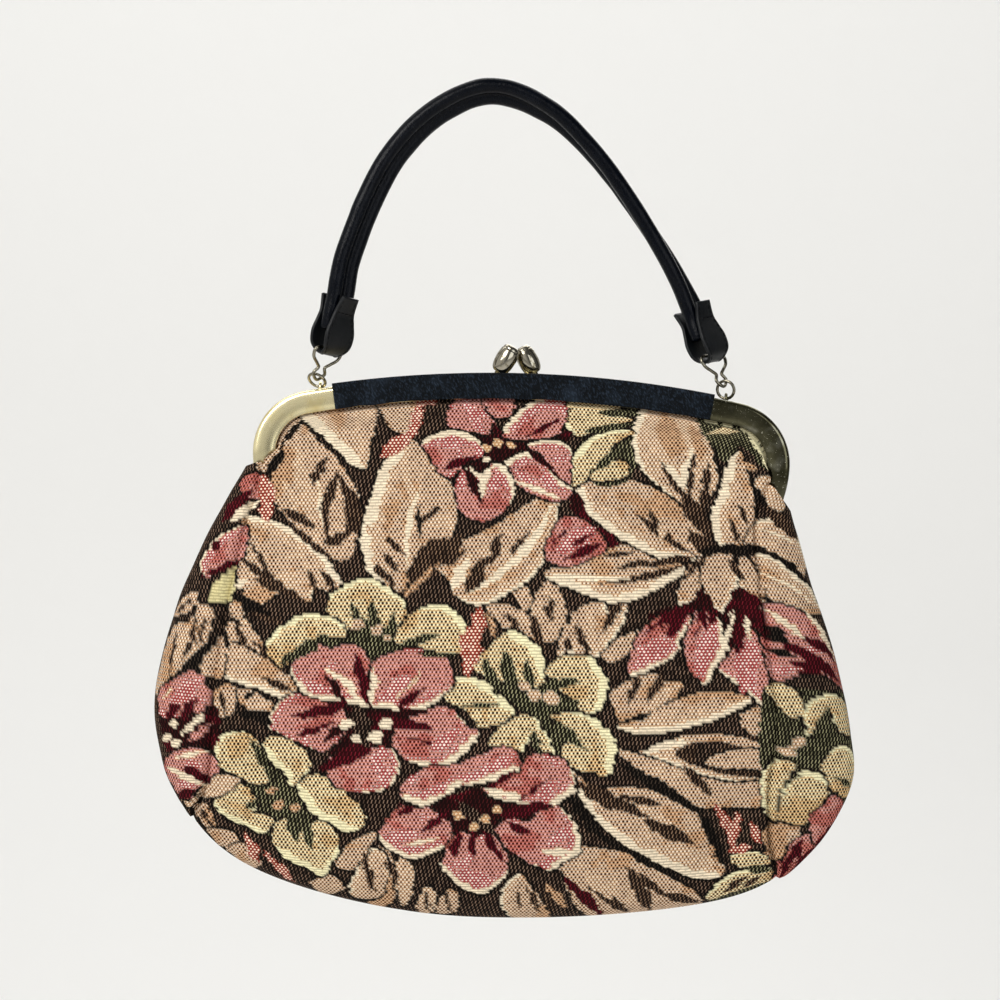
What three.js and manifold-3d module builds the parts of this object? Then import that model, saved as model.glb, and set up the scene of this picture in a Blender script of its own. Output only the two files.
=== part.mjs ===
// A tapestry handbag on a hinged brass frame, closed and hanging by its rolled leather handle.
// Millimetres, +Z up, front towards -Y. The origin is under the top of the handle, where it hangs.
import * as THREE from "three";
import { mergeVertices } from "three/addons/utils/BufferGeometryUtils.js";
import Module from "manifold-3d";

const wasm = await Module();
wasm.setup();

// Driving dimensions: the whole bag
const BAG_SHIFT = 14.5; // the frame's middle lies this far right of the hang point
const CLOTH_THICKNESS = 1.6;
const SEAM_GAP = 0.45;

// Driving dimensions: the frame, an arched rail with two round corners and two short legs
const FRAME_HALF_WIDTH = 112.5;
const FRAME_TOP = -114.2;
const RAIL_RADIUS = 488;
const CORNER_RADIUS = 26;
const LEG_LENGTH = 18;
const CHANNEL_WALL = 0.9;
const CHANNEL_FACE = 9.6; // height of the outer wall
const CHANNEL_BACK = 8; // height of the inner wall
const CHANNEL_DEPTH = 6; // outer wall's distance from the centre plane
const HALVES_GAP = 0.8;
const CHANNEL_BEVEL = 1.2;
const LEG_TAPER_SIDE = 3.4; // the leg's outer edge and front wall draw in towards the hinge
const LEG_TAPER_DEPTH = 2;
const HINGE_RISE = 4.5; // hinge rivet above the leg's end
const HINGE_INSET = 6.4;
const RIVET_RADIUS = 1.3;
const RIVET_HEAD = 2.2;
const FIT = 0.3; // clearance round a pin, a wire or a strip

// Driving dimensions: the leather strip over the rail
const COVER_HALF_RUN = 80.3;
const COVER_THICKNESS = 1;
const COVER_TOP_DEPTH = 2.7;

// Driving dimensions: clasp, rings, links, tabs and handle
const BEAD_LENGTH = 13;
const BEAD_RADIUS = 4.5;
const BEAD_STEM = 1.2;
const BEAD_STEM_HEIGHT = 1.6;
const BEAD_TAPER = 0.14; // the bead is this much slimmer at its foot
const EYE_X = 85.4;
const EYE_Y = 3.2;
const EYE_RADIUS = 1.9;
const EYE_RISE = 0.9; // straight legs under the eye's arch
const EYE_WIRE = 0.6;
const EYE_SINK = 0.55; // its feet go into the wall
const RING_RADIUS = 3.75;
const RING_WIRE = 0.65;
const LINK_WIRE = 0.7;
const LINK_SLACK = 0.85; // the link slants across the ring
const TAB_THICKNESS = 1.5;
const TAB_BAR_DROP = 9; // link bar below the tab's middle
const TAB_YAW = 43; // degrees, front edge of the tab to the left
const ROLL_RADIUS = 3.25;
const ROLL_SPACING = 6.8;
const ROLL_WEB = 1.3; // half thickness of the groove between the two rolls
const ROLL_OPEN = 140; // degrees of each roll, either way, before the groove

// Facets
const RAIL_STEPS = 16;
const CORNER_STEPS = 7;
const LEG_STEPS = 4;
const WIRE_SIDES = 6;
const RING_STEPS = 16;
const LINK_STEPS = 40;
const HANDLE_STEPS = 44;
const ROLL_STEPS = 7;
const BEAD_STEPS = 9;
const BEAD_SIDES = 14;

// Derived frame geometry
const CORNER_X = FRAME_HALF_WIDTH - CORNER_RADIUS;
const RAIL_CENTRE_Z = FRAME_TOP - RAIL_RADIUS;
const CORNER_REACH = RAIL_RADIUS - CORNER_RADIUS;
const CORNER_Z = RAIL_CENTRE_Z + Math.sqrt(CORNER_REACH ** 2 - CORNER_X ** 2);
const RAIL_ANGLE = Math.asin(CORNER_X / CORNER_REACH);
const RAIL_RUN = RAIL_RADIUS * RAIL_ANGLE;
const ARCH_RUN = RAIL_RUN + CORNER_RADIUS * (Math.PI / 2 - RAIL_ANGLE);
const FRAME_RUN = ARCH_RUN + LEG_LENGTH;

// Front panel rows from the shoulder to the bottom seam. The middle and the two side seams have
// their own heights. middleY and seamY are distances in front of the centre plane.
// curve is the share of a row's rise that is a parabola, and the rest is a sharp turn at the seam.
const PANEL_ROWS = table(
  ["middleZ", "middleY", "seamY", "leftX", "leftZ", "rightX", "rightZ", "curve", "round"],
  [
    [-138, 11.5, 9.4, -104.5, -153, 100.8, -156, 0.25, 2.4],
    [-160, 18, 12, -112, -170, 98.5, -176, 0.5, 2.4],
    [-190, 24.5, 17, -118, -195, 101, -198, 0.7, 2.4],
    [-225, 29.5, 21.5, -122.8, -227, 105, -226, 0.7, 2.4],
    [-262, 32, 23, -126, -260, 109, -256, 0.7, 2.4],
    [-296, 30, 18, -126.5, -281, 107, -282, 0.7, 2.4],
    [-322, 22, 9, -130, -294, 108, -304, 0.7, 2.6],
    [-337, 10, 3.5, -132.3, -300, 111, -317, 0.7, 4],
    [-341.5, 0.2, 1.5, -133.5, -302.5, 112, -321, 0.7, 16],
  ],
);

// The outermost line of each gusset, beside the same rows.
const GUSSET_ROWS = table(
  ["leftX", "leftZ", "rightX", "rightZ"],
  [
    [-114.6, -155.5, 112.8, -168],
    [-123.5, -172, 116, -179],
    [-135, -196, 122.5, -199],
    [-145.3, -227, 133, -227],
    [-150, -258, 141, -260],
    [-146, -280, 142, -281],
    [-139.5, -294, 130.9, -304],
    [-135.5, -300.4, 118, -318],
    [-134.4, -302.7, 113.3, -321.4],
  ],
);

// Dents and folds pressed into the front: middle, direction in degrees, half length and half width.
const FOLDS = table(
  ["x", "z", "angle", "length", "width", "depth"],
  [
    [-104, -282, -35, 22, 7, 4.5],
    [-117, -262, 78, 13, 6, 3],
    [-113, -305, 38, 13, 6, 3],
    [92, -300, 62, 20, 8, 3],
    [-84, -160, 60, 20, 9, 2],
    [80, -166, -66, 22, 9, 2],
  ],
);

// Half of a tab's strip, from the fold under the link's bar to the flared top.
const TAB_ROWS = table(
  ["height", "halfGap", "halfWidth"],
  [
    [-11.1, 0, 4.8],
    [-9.9, 2.8, 5.6],
    [-7.5, 4.3, 7],
    [-2.5, 4.7, 7.6],
    [2.5, 4.6, 6.4],
    [6.5, 4.6, 5.4],
    [13.5, 6.8, 4.3],
  ],
);

// Half of a wire link, from the middle of its top bar down to the foot of its small loop.
const LINK_ROWS = table(
  ["halfWidth", "drop"],
  [
    [0, 0],
    [6.1, 0.1],
    [7.4, 1.5],
    [6.7, 4.3],
    [3.6, 6.9],
    [1.8, 8.6],
    [3.1, 11.4],
    [0, 14.2],
  ],
);
const LINK_LENGTH = LINK_ROWS.at(-1).drop;

// How the rings, links and tabs of the two sides hang: each ring's lean and turn in degrees, and
// the x and y of the unit vector up each link and each tab.
const HANGERS = table(
  ["name", "side", "ringLean", "ringTurn", "linkX", "linkY", "tabX", "tabY"],
  [
    ["left", -1, 45, -30, 0.366, -0.217, 0.174, 0],
    ["right", 1, 10, -24, -0.37, 0.2, -0.4, 0.15],
  ],
);

// Middle line of the handle between its tabs, and the twist of its two rolls along it:
// 0 has one roll in front of the other, and a positive twist moves the front one outwards.
const HANDLE_ROUTE = table(
  ["x", "y", "z"],
  [
    [-74.6, -5, -64.8],
    [-57.5, -3, -23.9],
    [-37.5, -1.5, -3],
    [-16.5, 0, 5.4],
    [6.4, 1, -1.9],
    [28.6, 2, -21.4],
    [57.6, 4, -60.9],
  ],
);
const HANDLE_TWIST = table(
  ["at", "degrees"],
  [
    [0.25, 42],
    [0.5, 38],
    [0.62, 16],
    [0.78, 0],
    [0.9, -16],
  ],
);
const ROLL_END = -1; // roll ends, from the tab's middle
const ROLL_NECK = 13;

// Tables and small helpers

function table(columns, rows) {
  return rows.map((row) => Object.fromEntries(columns.map((name, i) => [name, row[i]])));
}

function steps(from, to, count) {
  return Array.from({ length: count + 1 }, (_, i) => from + ((to - from) * i) / count);
}

function radians(degrees) {
  return THREE.MathUtils.degToRad(degrees);
}

function geometryOf(points, triangles) {
  const geometry = new THREE.BufferGeometry().setFromPoints(points);
  geometry.setIndex(triangles);
  return geometry;
}

// A closed solid between rows of matching rings of points. The section, in its own plane, gives
// the triangles of the two end caps.
function loft(rings, section) {
  const sides = section.length;
  const triangles = [];
  for (let r = 0; r + 1 < rings.length; r++) {
    for (let i = 0; i < sides; i++) {
      const a = r * sides + i;
      const b = r * sides + ((i + 1) % sides);
      triangles.push(a, b, b + sides, a, b + sides, a + sides);
    }
  }
  const last = (rings.length - 1) * sides;
  for (const [a, b, c] of THREE.ShapeUtils.triangulateShape(section, [])) {
    triangles.push(a, c, b, last + a, last + b, last + c);
  }
  const points = rings.flat();
  if (enclosedVolume(points, triangles) < 0) triangles.reverse();
  return geometryOf(points, triangles);
}

function enclosedVolume(points, triangles) {
  let volume = 0;
  for (let i = 0; i < triangles.length; i += 3) {
    const [a, b, c] = triangles.slice(i, i + 3).map((k) => points[k]);
    volume += a.dot(new THREE.Vector3().crossVectors(b, c)) / 6;
  }
  return volume;
}

// Surface directions of a grid of points: along its rows crossed with along its columns.
function gridNormals(grid) {
  const last = { row: grid.length - 1, column: grid[0].length - 1 };
  return grid.map((line, r) =>
    line.map((_, c) => {
      const down = new THREE.Vector3().subVectors(
        grid[Math.min(r + 1, last.row)][c],
        grid[Math.max(r - 1, 0)][c],
      );
      const across = new THREE.Vector3().subVectors(
        line[Math.min(c + 1, last.column)],
        line[Math.max(c - 1, 0)],
      );
      return down.cross(across).normalize();
    }),
  );
}

// A closed sheet of even thickness, half of it on each side of a grid of points.
function sheet(grid, normals, thickness) {
  const rows = grid.length;
  const columns = grid[0].length;
  const layer = rows * columns;
  const points = [];
  for (const half of [thickness / 2, -thickness / 2]) {
    grid.forEach((line, r) =>
      line.forEach((p, c) => points.push(p.clone().addScaledVector(normals[r][c], half))),
    );
  }
  const triangles = [];
  const quad = (a, b, c, d) => triangles.push(a, b, c, a, c, d);
  const at = (r, c) => r * columns + c;
  for (let r = 0; r + 1 < rows; r++) {
    for (let c = 0; c + 1 < columns; c++) {
      const corners = [at(r, c), at(r + 1, c), at(r + 1, c + 1), at(r, c + 1)];
      quad(...corners);
      quad(...corners.map((k) => k + layer).reverse());
    }
  }
  const rim = [
    ...steps(0, rows - 1, rows - 1).map((r) => at(r, 0)),
    ...steps(1, columns - 1, columns - 2).map((c) => at(rows - 1, c)),
    ...steps(rows - 2, 0, rows - 2).map((r) => at(r, columns - 1)),
    ...steps(columns - 2, 1, columns - 3).map((c) => at(0, c)),
  ];
  rim.forEach((a, i) => {
    const b = rim[(i + 1) % rim.length];
    quad(b, a, a + layer, b + layer);
  });
  return geometryOf(points, triangles);
}

function solidOf(geometry) {
  const bare = geometry.clone();
  bare.deleteAttribute("normal");
  bare.deleteAttribute("uv");
  const merged = mergeVertices(bare, 1e-3);
  const vertProperties = new Float32Array(merged.attributes.position.array);
  const triVerts = new Uint32Array(merged.index.array);
  return new wasm.Manifold(new wasm.Mesh({ numProp: 3, vertProperties, triVerts }));
}

function geometryOfSolid(solid) {
  const mesh = solid.getMesh();
  const geometry = new THREE.BufferGeometry();
  geometry.setAttribute("position", new THREE.BufferAttribute(mesh.vertProperties, 3));
  geometry.setIndex(new THREE.BufferAttribute(mesh.triVerts, 1));
  return geometry;
}

// Frame: the arch is walked by the length run along its outer edge, 0 at the top middle.

function archPoint(run, inset, y) {
  const side = run < 0 ? -1 : 1;
  const along = Math.abs(run);
  if (along > ARCH_RUN) {
    return new THREE.Vector3(side * (FRAME_HALF_WIDTH - inset), y, CORNER_Z - along + ARCH_RUN);
  }
  const onRail = along <= RAIL_RUN;
  const angle = onRail ? along / RAIL_RADIUS : RAIL_ANGLE + (along - RAIL_RUN) / CORNER_RADIUS;
  const radius = (onRail ? RAIL_RADIUS : CORNER_RADIUS) - inset;
  const x = (onRail ? 0 : CORNER_X) + radius * Math.sin(angle);
  const z = (onRail ? RAIL_CENTRE_Z : CORNER_Z) + radius * Math.cos(angle);
  return new THREE.Vector3(side * x, y, z);
}

// Channel section of one frame half: distance in from the outer edge, and distance in front of
// the centre plane. legShare runs from 0 at the corner to 1 at the leg's end.
function channelSection(legShare) {
  const outer = LEG_TAPER_SIDE * legShare ** 2;
  const front = CHANNEL_DEPTH - LEG_TAPER_DEPTH * legShare;
  const back = HALVES_GAP / 2;
  return [
    [outer, front - CHANNEL_BEVEL],
    [outer, back],
    [CHANNEL_BACK, back],
    [CHANNEL_BACK, back + CHANNEL_WALL],
    [outer + CHANNEL_WALL, back + CHANNEL_WALL],
    [outer + CHANNEL_WALL, front - CHANNEL_WALL],
    [CHANNEL_FACE, front - CHANNEL_WALL],
    [CHANNEL_FACE, front],
    [outer + CHANNEL_BEVEL, front],
  ].map(([inset, out]) => new THREE.Vector2(inset, out));
}

function channelHalf() {
  const leg = steps(ARCH_RUN, FRAME_RUN, LEG_STEPS).slice(1);
  const corner = steps(RAIL_RUN, ARCH_RUN, CORNER_STEPS).slice(1);
  const rail = steps(-RAIL_RUN, RAIL_RUN, RAIL_STEPS);
  const right = [...corner, ...leg];
  const runs = [...right.map((run) => -run).reverse(), ...rail, ...right];
  const rings = runs.map((run) => {
    const legShare = Math.max(0, (Math.abs(run) - ARCH_RUN) / LEG_LENGTH);
    return channelSection(legShare).map((p) => archPoint(run, p.x, -p.y));
  });
  return withHingeHoles(solidOf(loft(rings, channelSection(0))));
}

function hingePoint(side) {
  return archPoint(side * (FRAME_RUN - HINGE_RISE), HINGE_INSET, 0);
}

function withHingeHoles(solid) {
  const depth = HALVES_GAP + 4 * CHANNEL_WALL;
  return [-1, 1].reduce((left, side) => {
    const drill = new THREE.CylinderGeometry(RIVET_RADIUS + FIT, RIVET_RADIUS + FIT, depth, 12);
    const at = hingePoint(side);
    drill.translate(at.x, at.y, at.z);
    return left.subtract(solidOf(drill));
  }, solid);
}

function eyePoint(side) {
  const run = side * RAIL_RADIUS * Math.asin(EYE_X / RAIL_RADIUS);
  return archPoint(run, 0, EYE_Y);
}

// A staple of wire, standing on the back channel with its feet sunk into the wall.
function eye(side) {
  const foot = eyePoint(side);
  const reach = new THREE.Vector3(0, EYE_RADIUS, 0);
  const sink = new THREE.Vector3(0, 0, -EYE_SINK);
  const crown = foot.clone().add(new THREE.Vector3(0, 0, EYE_RISE));
  const arc = steps(0, Math.PI, 6).map((angle) =>
    new THREE.Vector3(0, Math.cos(angle), Math.sin(angle)).multiplyScalar(EYE_RADIUS).add(crown),
  );
  const route = new THREE.CatmullRomCurve3([
    foot.clone().add(reach).add(sink),
    ...arc,
    foot.clone().sub(reach).add(sink),
  ]);
  const round = new THREE.Shape().absarc(0, 0, EYE_WIRE, 0, 2 * Math.PI);
  const settings = { steps: 10, curveSegments: 3, extrudePath: route, bevelEnabled: false };
  return solidOf(new THREE.ExtrudeGeometry(round, settings));
}

function frameFront() {
  return geometryOfSolid(channelHalf());
}

function frameBack() {
  const half = channelHalf().mirror([0, 1, 0]);
  return geometryOfSolid([-1, 1].reduce((solid, side) => solid.add(eye(side)), half));
}

function hingeRivet() {
  const shank = HALVES_GAP / 2 + CHANNEL_WALL + FIT;
  const end = shank + CHANNEL_WALL;
  const profile = [
    [0, -end],
    [RIVET_HEAD, -end],
    [RIVET_HEAD, -shank],
    [RIVET_RADIUS, -shank],
    [RIVET_RADIUS, shank],
    [RIVET_HEAD, shank],
    [RIVET_HEAD, end],
    [0, end],
  ].map(([r, y]) => new THREE.Vector2(r, y));
  return new THREE.LatheGeometry(profile, 10);
}

// Leather strip over the front and the top edge of a channel's rail.
function railCover() {
  const inner = CHANNEL_DEPTH + FIT;
  const outer = inner + COVER_THICKNESS;
  const back = outer - COVER_TOP_DEPTH;
  const above = -FIT;
  const top = above - COVER_THICKNESS;
  const section = [
    [top, outer],
    [top, back],
    [above, back],
    [above, inner],
    [CHANNEL_FACE, inner],
    [CHANNEL_FACE, outer],
  ].map(([inset, out]) => new THREE.Vector2(inset, out));
  const rings = steps(-COVER_HALF_RUN, COVER_HALF_RUN, RAIL_STEPS).map((run) =>
    section.map((p) => archPoint(run, p.x, -p.y)),
  );
  return loft(rings, section);
}

// Clasp bead: an egg with a short stem, its fat end up.
function claspBead() {
  const egg = steps(0, Math.PI, BEAD_STEPS).map((angle) => {
    const height = (1 - Math.cos(angle)) / 2;
    const radius = BEAD_RADIUS * Math.sin(angle) * (1 - BEAD_TAPER * (1 - height));
    return new THREE.Vector2(radius, BEAD_STEM_HEIGHT + BEAD_LENGTH * height);
  });
  const profile = [
    new THREE.Vector2(0, 0),
    new THREE.Vector2(BEAD_STEM, 0),
    new THREE.Vector2(BEAD_STEM, BEAD_STEM_HEIGHT),
    ...egg.slice(1),
  ];
  profile.at(-1).x = 0;
  return new THREE.LatheGeometry(profile, BEAD_SIDES).rotateX(Math.PI / 2);
}

// Cloth: each column of a panel runs from inside the channel, under the channel's lip and over
// the rows of the table to the bottom seam. u runs from -1 at the left seam to 1 at the right.

const TUCK_INSET = 4.5;
const MOUTH_INSET = CHANNEL_FACE + 1.4;
const ROLL_INSET = CHANNEL_FACE + 2;
const TUCK_Y = -3;
const LIP_Y = -(CHANNEL_DEPTH + FIT + COVER_THICKNESS + 0.5);
const FOLD_ROOM = 0.3; // deepest fold, as a share of the distance to the centre plane
const FOLD_FADE = 8; // power that ends the folds at the seams
const SEAM_TURN = 10; // power of a row's sharp turn at the seam
const GUSSET_ROUND = 2.8; // power of a gusset's swell from seam to seam
const SUBROWS = 2; // rows of the mesh for each row of the table

function rowPoint(row, u) {
  const rise = (u < 0 ? row.leftZ : row.rightZ) - row.middleZ;
  const x = (row.leftX + row.rightX) / 2 + (u * (row.rightX - row.leftX)) / 2;
  const z = row.middleZ + rise * (row.curve * u ** 2 + (1 - row.curve) * u ** SEAM_TURN);
  const y = row.middleY + (row.seamY - row.middleY) * Math.abs(u) ** row.round;
  return new THREE.Vector3(x, -y, z);
}

function panelColumn(u) {
  const run = u * ARCH_RUN;
  const tuck = archPoint(run, TUCK_INSET, TUCK_Y);
  const mouth = archPoint(run, MOUTH_INSET, TUCK_Y);
  const lip = archPoint(run, ROLL_INSET, LIP_Y);
  const fall = new THREE.CatmullRomCurve3([lip, ...PANEL_ROWS.map((row) => rowPoint(row, u))]);
  return [tuck, mouth, ...fall.getPoints(SUBROWS * PANEL_ROWS.length)];
}

const SHOULDER_ROW = 2 + SUBROWS; // first mesh row of a panel that has a side seam

function panelGrid(columns) {
  const byColumn = steps(-1, 1, columns).map(panelColumn);
  return byColumn[0].map((_, r) => byColumn.map((column) => column[r]));
}

function foldDepth(x, z) {
  return FOLDS.reduce((sum, fold) => {
    const turn = radians(fold.angle);
    const dx = x - fold.x;
    const dz = z - fold.z;
    const along = (dx * Math.cos(turn) + dz * Math.sin(turn)) / fold.length;
    const across = (dz * Math.cos(turn) - dx * Math.sin(turn)) / fold.width;
    return sum + fold.depth * Math.exp(-(along ** 2) - across ** 2);
  }, 0);
}

function gussetGrid(side, columns) {
  const seam = panelColumn(side).slice(SHOULDER_ROW);
  const name = side < 0 ? "left" : "right";
  const edge = new THREE.CatmullRomCurve3(
    GUSSET_ROWS.map((row) => new THREE.Vector3(row[name + "X"], 0, row[name + "Z"])),
  ).getPoints(seam.length - 1);
  return seam.map((s, r) =>
    steps(-1, 1, columns).map((w) => {
      const out = 1 - Math.abs(w) ** GUSSET_ROUND;
      const x = s.x + (edge[r].x - s.x) * out;
      const z = s.z + (edge[r].z - s.z) * out;
      return new THREE.Vector3(x, s.y * -w * side, z);
    }),
  );
}

// The shared direction along each seam, so that the two cloths meet on one mitre.
function seamNormals(side) {
  const panel = gridNormals(panelGrid(FRONT_COLUMNS));
  const gusset = gridNormals(gussetGrid(side, GUSSET_COLUMNS));
  return gusset.map((line, r) => {
    const own = panel[r + SHOULDER_ROW].at(side < 0 ? 0 : -1);
    const other = line.at(side < 0 ? -1 : 0);
    return own.clone().add(other).normalize();
  });
}

const FRONT_COLUMNS = 24;
const BACK_COLUMNS = 16;
const GUSSET_COLUMNS = 6;
const SEAMS = { "-1": seamNormals(-1), 1: seamNormals(1) };

// Draws an edge point back along its row, to leave half of the seam's gap.
function drawBack(line, edge, next) {
  const inward = new THREE.Vector3().subVectors(line.at(next), line.at(edge));
  line.at(edge).addScaledVector(inward.normalize(), SEAM_GAP / 2);
}

function flattenAcross(normals) {
  normals.forEach((n) => n.setY(0).normalize());
}

function panel(columns, folded) {
  const grid = panelGrid(columns);
  const normals = gridNormals(grid);
  grid.slice(SHOULDER_ROW).forEach((line) => {
    drawBack(line, 0, 1);
    drawBack(line, -1, -2);
  });
  if (folded) {
    grid.slice(SHOULDER_ROW, -1).forEach((line, k) =>
      line.forEach((p, c) => {
        const u = (2 * c) / columns - 1;
        const depth = foldDepth(p.x, p.z) * (1 - u ** FOLD_FADE);
        const room = FOLD_ROOM * Math.abs(p.y);
        p.addScaledVector(normals[k + SHOULDER_ROW][c], -Math.min(depth, room));
      }),
    );
  }
  const dressed = gridNormals(grid);
  dressed.slice(SHOULDER_ROW).forEach((line, k) => {
    line[0] = SEAMS[-1][k].clone();
    line[columns] = SEAMS[1][k].clone();
  });
  flattenAcross(dressed.at(-1));
  return sheet(grid, dressed, CLOTH_THICKNESS);
}

function gusset(side) {
  const grid = gussetGrid(side, GUSSET_COLUMNS);
  const normals = gridNormals(grid);
  const front = side < 0 ? GUSSET_COLUMNS : 0;
  grid.forEach((line, r) => {
    const seam = SEAMS[side][r].clone();
    if (r === grid.length - 1) seam.setY(0).normalize();
    normals[r][front] = seam;
    normals[r][GUSSET_COLUMNS - front] = seam.clone().multiply(new THREE.Vector3(1, -1, 1));
    drawBack(line, 0, 1);
    drawBack(line, -1, -2);
  });
  return sheet(grid, normals, CLOTH_THICKNESS);
}

// Hangers: ring, link and tab of one side, each in its own place and direction.

function basis(up, yaw) {
  const z = up.clone().normalize();
  const x = new THREE.Vector3(Math.cos(radians(yaw)), Math.sin(radians(yaw)), 0);
  x.addScaledVector(z, -x.dot(z)).normalize();
  return new THREE.Matrix4().makeBasis(x, new THREE.Vector3().crossVectors(z, x), z);
}

function upVector(x, y) {
  return new THREE.Vector3(x, y, Math.sqrt(1 - x ** 2 - y ** 2));
}

function hangerFrames(row) {
  const ringTurn = new THREE.Euler(radians(row.ringLean), 0, radians(row.ringTurn), "ZYX");
  const ringFoot = eyePoint(row.side).add(new THREE.Vector3(0, 0, RING_WIRE + FIT));
  const ringUp = new THREE.Vector3(0, 0, 1).applyEuler(ringTurn);
  const ringAxis = new THREE.Vector3(0, 1, 0).applyEuler(ringTurn);
  const ringMiddle = ringFoot.clone().addScaledVector(ringUp, RING_RADIUS);
  const linkUp = upVector(row.linkX, row.linkY);
  const pull = linkUp.clone().projectOnPlane(ringAxis).normalize();
  const hook = ringMiddle.clone().addScaledVector(pull, RING_RADIUS);
  const hang = LINK_LENGTH - RING_WIRE - LINK_WIRE - LINK_SLACK;
  const bar = hook.addScaledVector(linkUp, hang);
  const tabUp = upVector(row.tabX, row.tabY);
  const tabMiddle = bar.clone().addScaledVector(tabUp, TAB_BAR_DROP);
  return {
    ringMiddle,
    ringTurn,
    link: basis(linkUp, TAB_YAW).setPosition(bar),
    tab: basis(tabUp, TAB_YAW).setPosition(tabMiddle),
  };
}

function ringGeometry() {
  return new THREE.TorusGeometry(RING_RADIUS, RING_WIRE, WIRE_SIDES, RING_STEPS).rotateX(Math.PI / 2);
}

function linkGeometry() {
  const right = LINK_ROWS.map((row) => new THREE.Vector3(row.halfWidth, 0, -row.drop));
  const left = right.slice(1, -1).map((p) => new THREE.Vector3(-p.x, p.y, p.z));
  const route = new THREE.CatmullRomCurve3([...right, ...left.reverse()], true);
  return new THREE.TubeGeometry(route, LINK_STEPS, LINK_WIRE, WIRE_SIDES, true);
}

function tabGeometry() {
  const leaf = (side) =>
    TAB_ROWS.map((row) => new THREE.Vector3(row.halfWidth, side * row.halfGap, row.height));
  const strip = [...leaf(-1).reverse(), ...leaf(1).slice(1)];
  const line = new THREE.CatmullRomCurve3(strip).getPoints(2 * (strip.length - 1));
  const grid = line.map((p) => steps(-1, 1, 4).map((u) => new THREE.Vector3(u * p.x, p.y, p.z)));
  return sheet(grid, gridNormals(grid), TAB_THICKNESS);
}

// Handle: two leather rolls side by side with a groove between them.

function rollsSection() {
  const half = ROLL_SPACING / 2;
  const open = radians(ROLL_OPEN);
  const right = steps(-open, open, ROLL_STEPS).map(
    (a) => new THREE.Vector2(half + ROLL_RADIUS * Math.cos(a), ROLL_RADIUS * Math.sin(a)),
  );
  const left = right.map((p) => new THREE.Vector2(-p.x, -p.y));
  return [...right, new THREE.Vector2(0, ROLL_WEB), ...left, new THREE.Vector2(0, -ROLL_WEB)];
}

function twistAt(share, ends) {
  const keys = [{ at: 0, degrees: ends[0] }, ...HANDLE_TWIST, { at: 1, degrees: ends[1] }];
  const next = Math.max(1, keys.findIndex((key) => key.at >= share));
  const [a, b] = [keys[next - 1], keys[next]];
  return THREE.MathUtils.mapLinear(share, a.at, b.at, a.degrees, b.degrees);
}

function handleGeometry(tabs) {
  const front = new THREE.Vector3(0, -1, 0);
  const along = (tab, height) => new THREE.Vector3(0, 0, height).applyMatrix4(tab);
  const route = new THREE.CatmullRomCurve3([
    along(tabs[0], ROLL_END),
    along(tabs[0], ROLL_NECK),
    ...HANDLE_ROUTE.map((p) => new THREE.Vector3(p.x, p.y, p.z)),
    along(tabs[1], ROLL_NECK),
    along(tabs[1], ROLL_END),
  ]);
  const frameAt = (share) => {
    const tangent = route.getTangentAt(share);
    const outward = new THREE.Vector3().crossVectors(front, tangent).normalize();
    return { outward, facing: new THREE.Vector3().crossVectors(tangent, outward).normalize() };
  };
  const ends = tabs.map((tab, i) => {
    const { outward, facing } = frameAt(i);
    const forward = new THREE.Vector3().setFromMatrixColumn(tab, 0).negate();
    return THREE.MathUtils.radToDeg(Math.atan2(forward.dot(outward), forward.dot(facing)));
  });
  const section = rollsSection();
  const mix = (a, p, b, q) => a.clone().multiplyScalar(p).addScaledVector(b, q);
  const rings = steps(0, 1, HANDLE_STEPS).map((share) => {
    const { outward, facing } = frameAt(share);
    const twist = radians(twistAt(share, ends));
    const across = mix(facing, Math.cos(twist), outward, Math.sin(twist));
    const up = mix(outward, Math.cos(twist), facing, -Math.sin(twist));
    const middle = route.getPointAt(share);
    return section.map((p) => middle.clone().addScaledVector(across, p.x).addScaledVector(up, p.y));
  });
  return loft(rings, section);
}

// Materials

function finish(color, roughness, metalness) {
  return new THREE.MeshStandardMaterial({ color, roughness, metalness });
}

const tapestry = () => finish(0x8a6a55, 0.9, 0);
const brass = () => finish(0xb9a566, 0.35, 1);
const nickel = () => finish(0xb8b3a4, 0.25, 1);
const navyLeather = () => finish(0x151b2a, 0.5, 0);
const blackLeather = () => finish(0x17181b, 0.55, 0);

// Assembly: everything is placed about the frame's middle, which hangs right of the origin.

const handbag = new THREE.Group();
const bag = new THREE.Group();
bag.position.x = BAG_SHIFT;
handbag.add(bag);

function add(name, geometry, material) {
  const mesh = new THREE.Mesh(geometry, material);
  mesh.name = name;
  bag.add(mesh);
  return mesh;
}

function addMirroredToBack(name, geometry, material) {
  add(name, geometry, material).scale.y = -1;
}

add("front_panel", panel(FRONT_COLUMNS, true), tapestry());
addMirroredToBack("back_panel", panel(BACK_COLUMNS, false), tapestry());
add("frame_front", frameFront(), brass());
add("frame_back", frameBack(), brass());
add("rail_cover_front", railCover(), navyLeather());
addMirroredToBack("rail_cover_back", railCover(), navyLeather());

// The two beads lean together and pass side by side, one on each frame half.
const CLASPS = table(
  ["name", "x", "y", "lean"],
  [
    ["front", -9.6, -2.7, 24],
    ["back", 4.6, 2.7, -22],
  ],
);
CLASPS.forEach((row) => {
  const bead = add("clasp_bead_" + row.name, claspBead(), nickel());
  const run = RAIL_RADIUS * Math.asin(row.x / RAIL_RADIUS);
  const lift = FIT + BEAD_STEM * Math.sin(Math.abs(radians(row.lean)));
  bead.position.copy(archPoint(run, -lift, row.y));
  bead.rotation.y = radians(row.lean);
});

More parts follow.
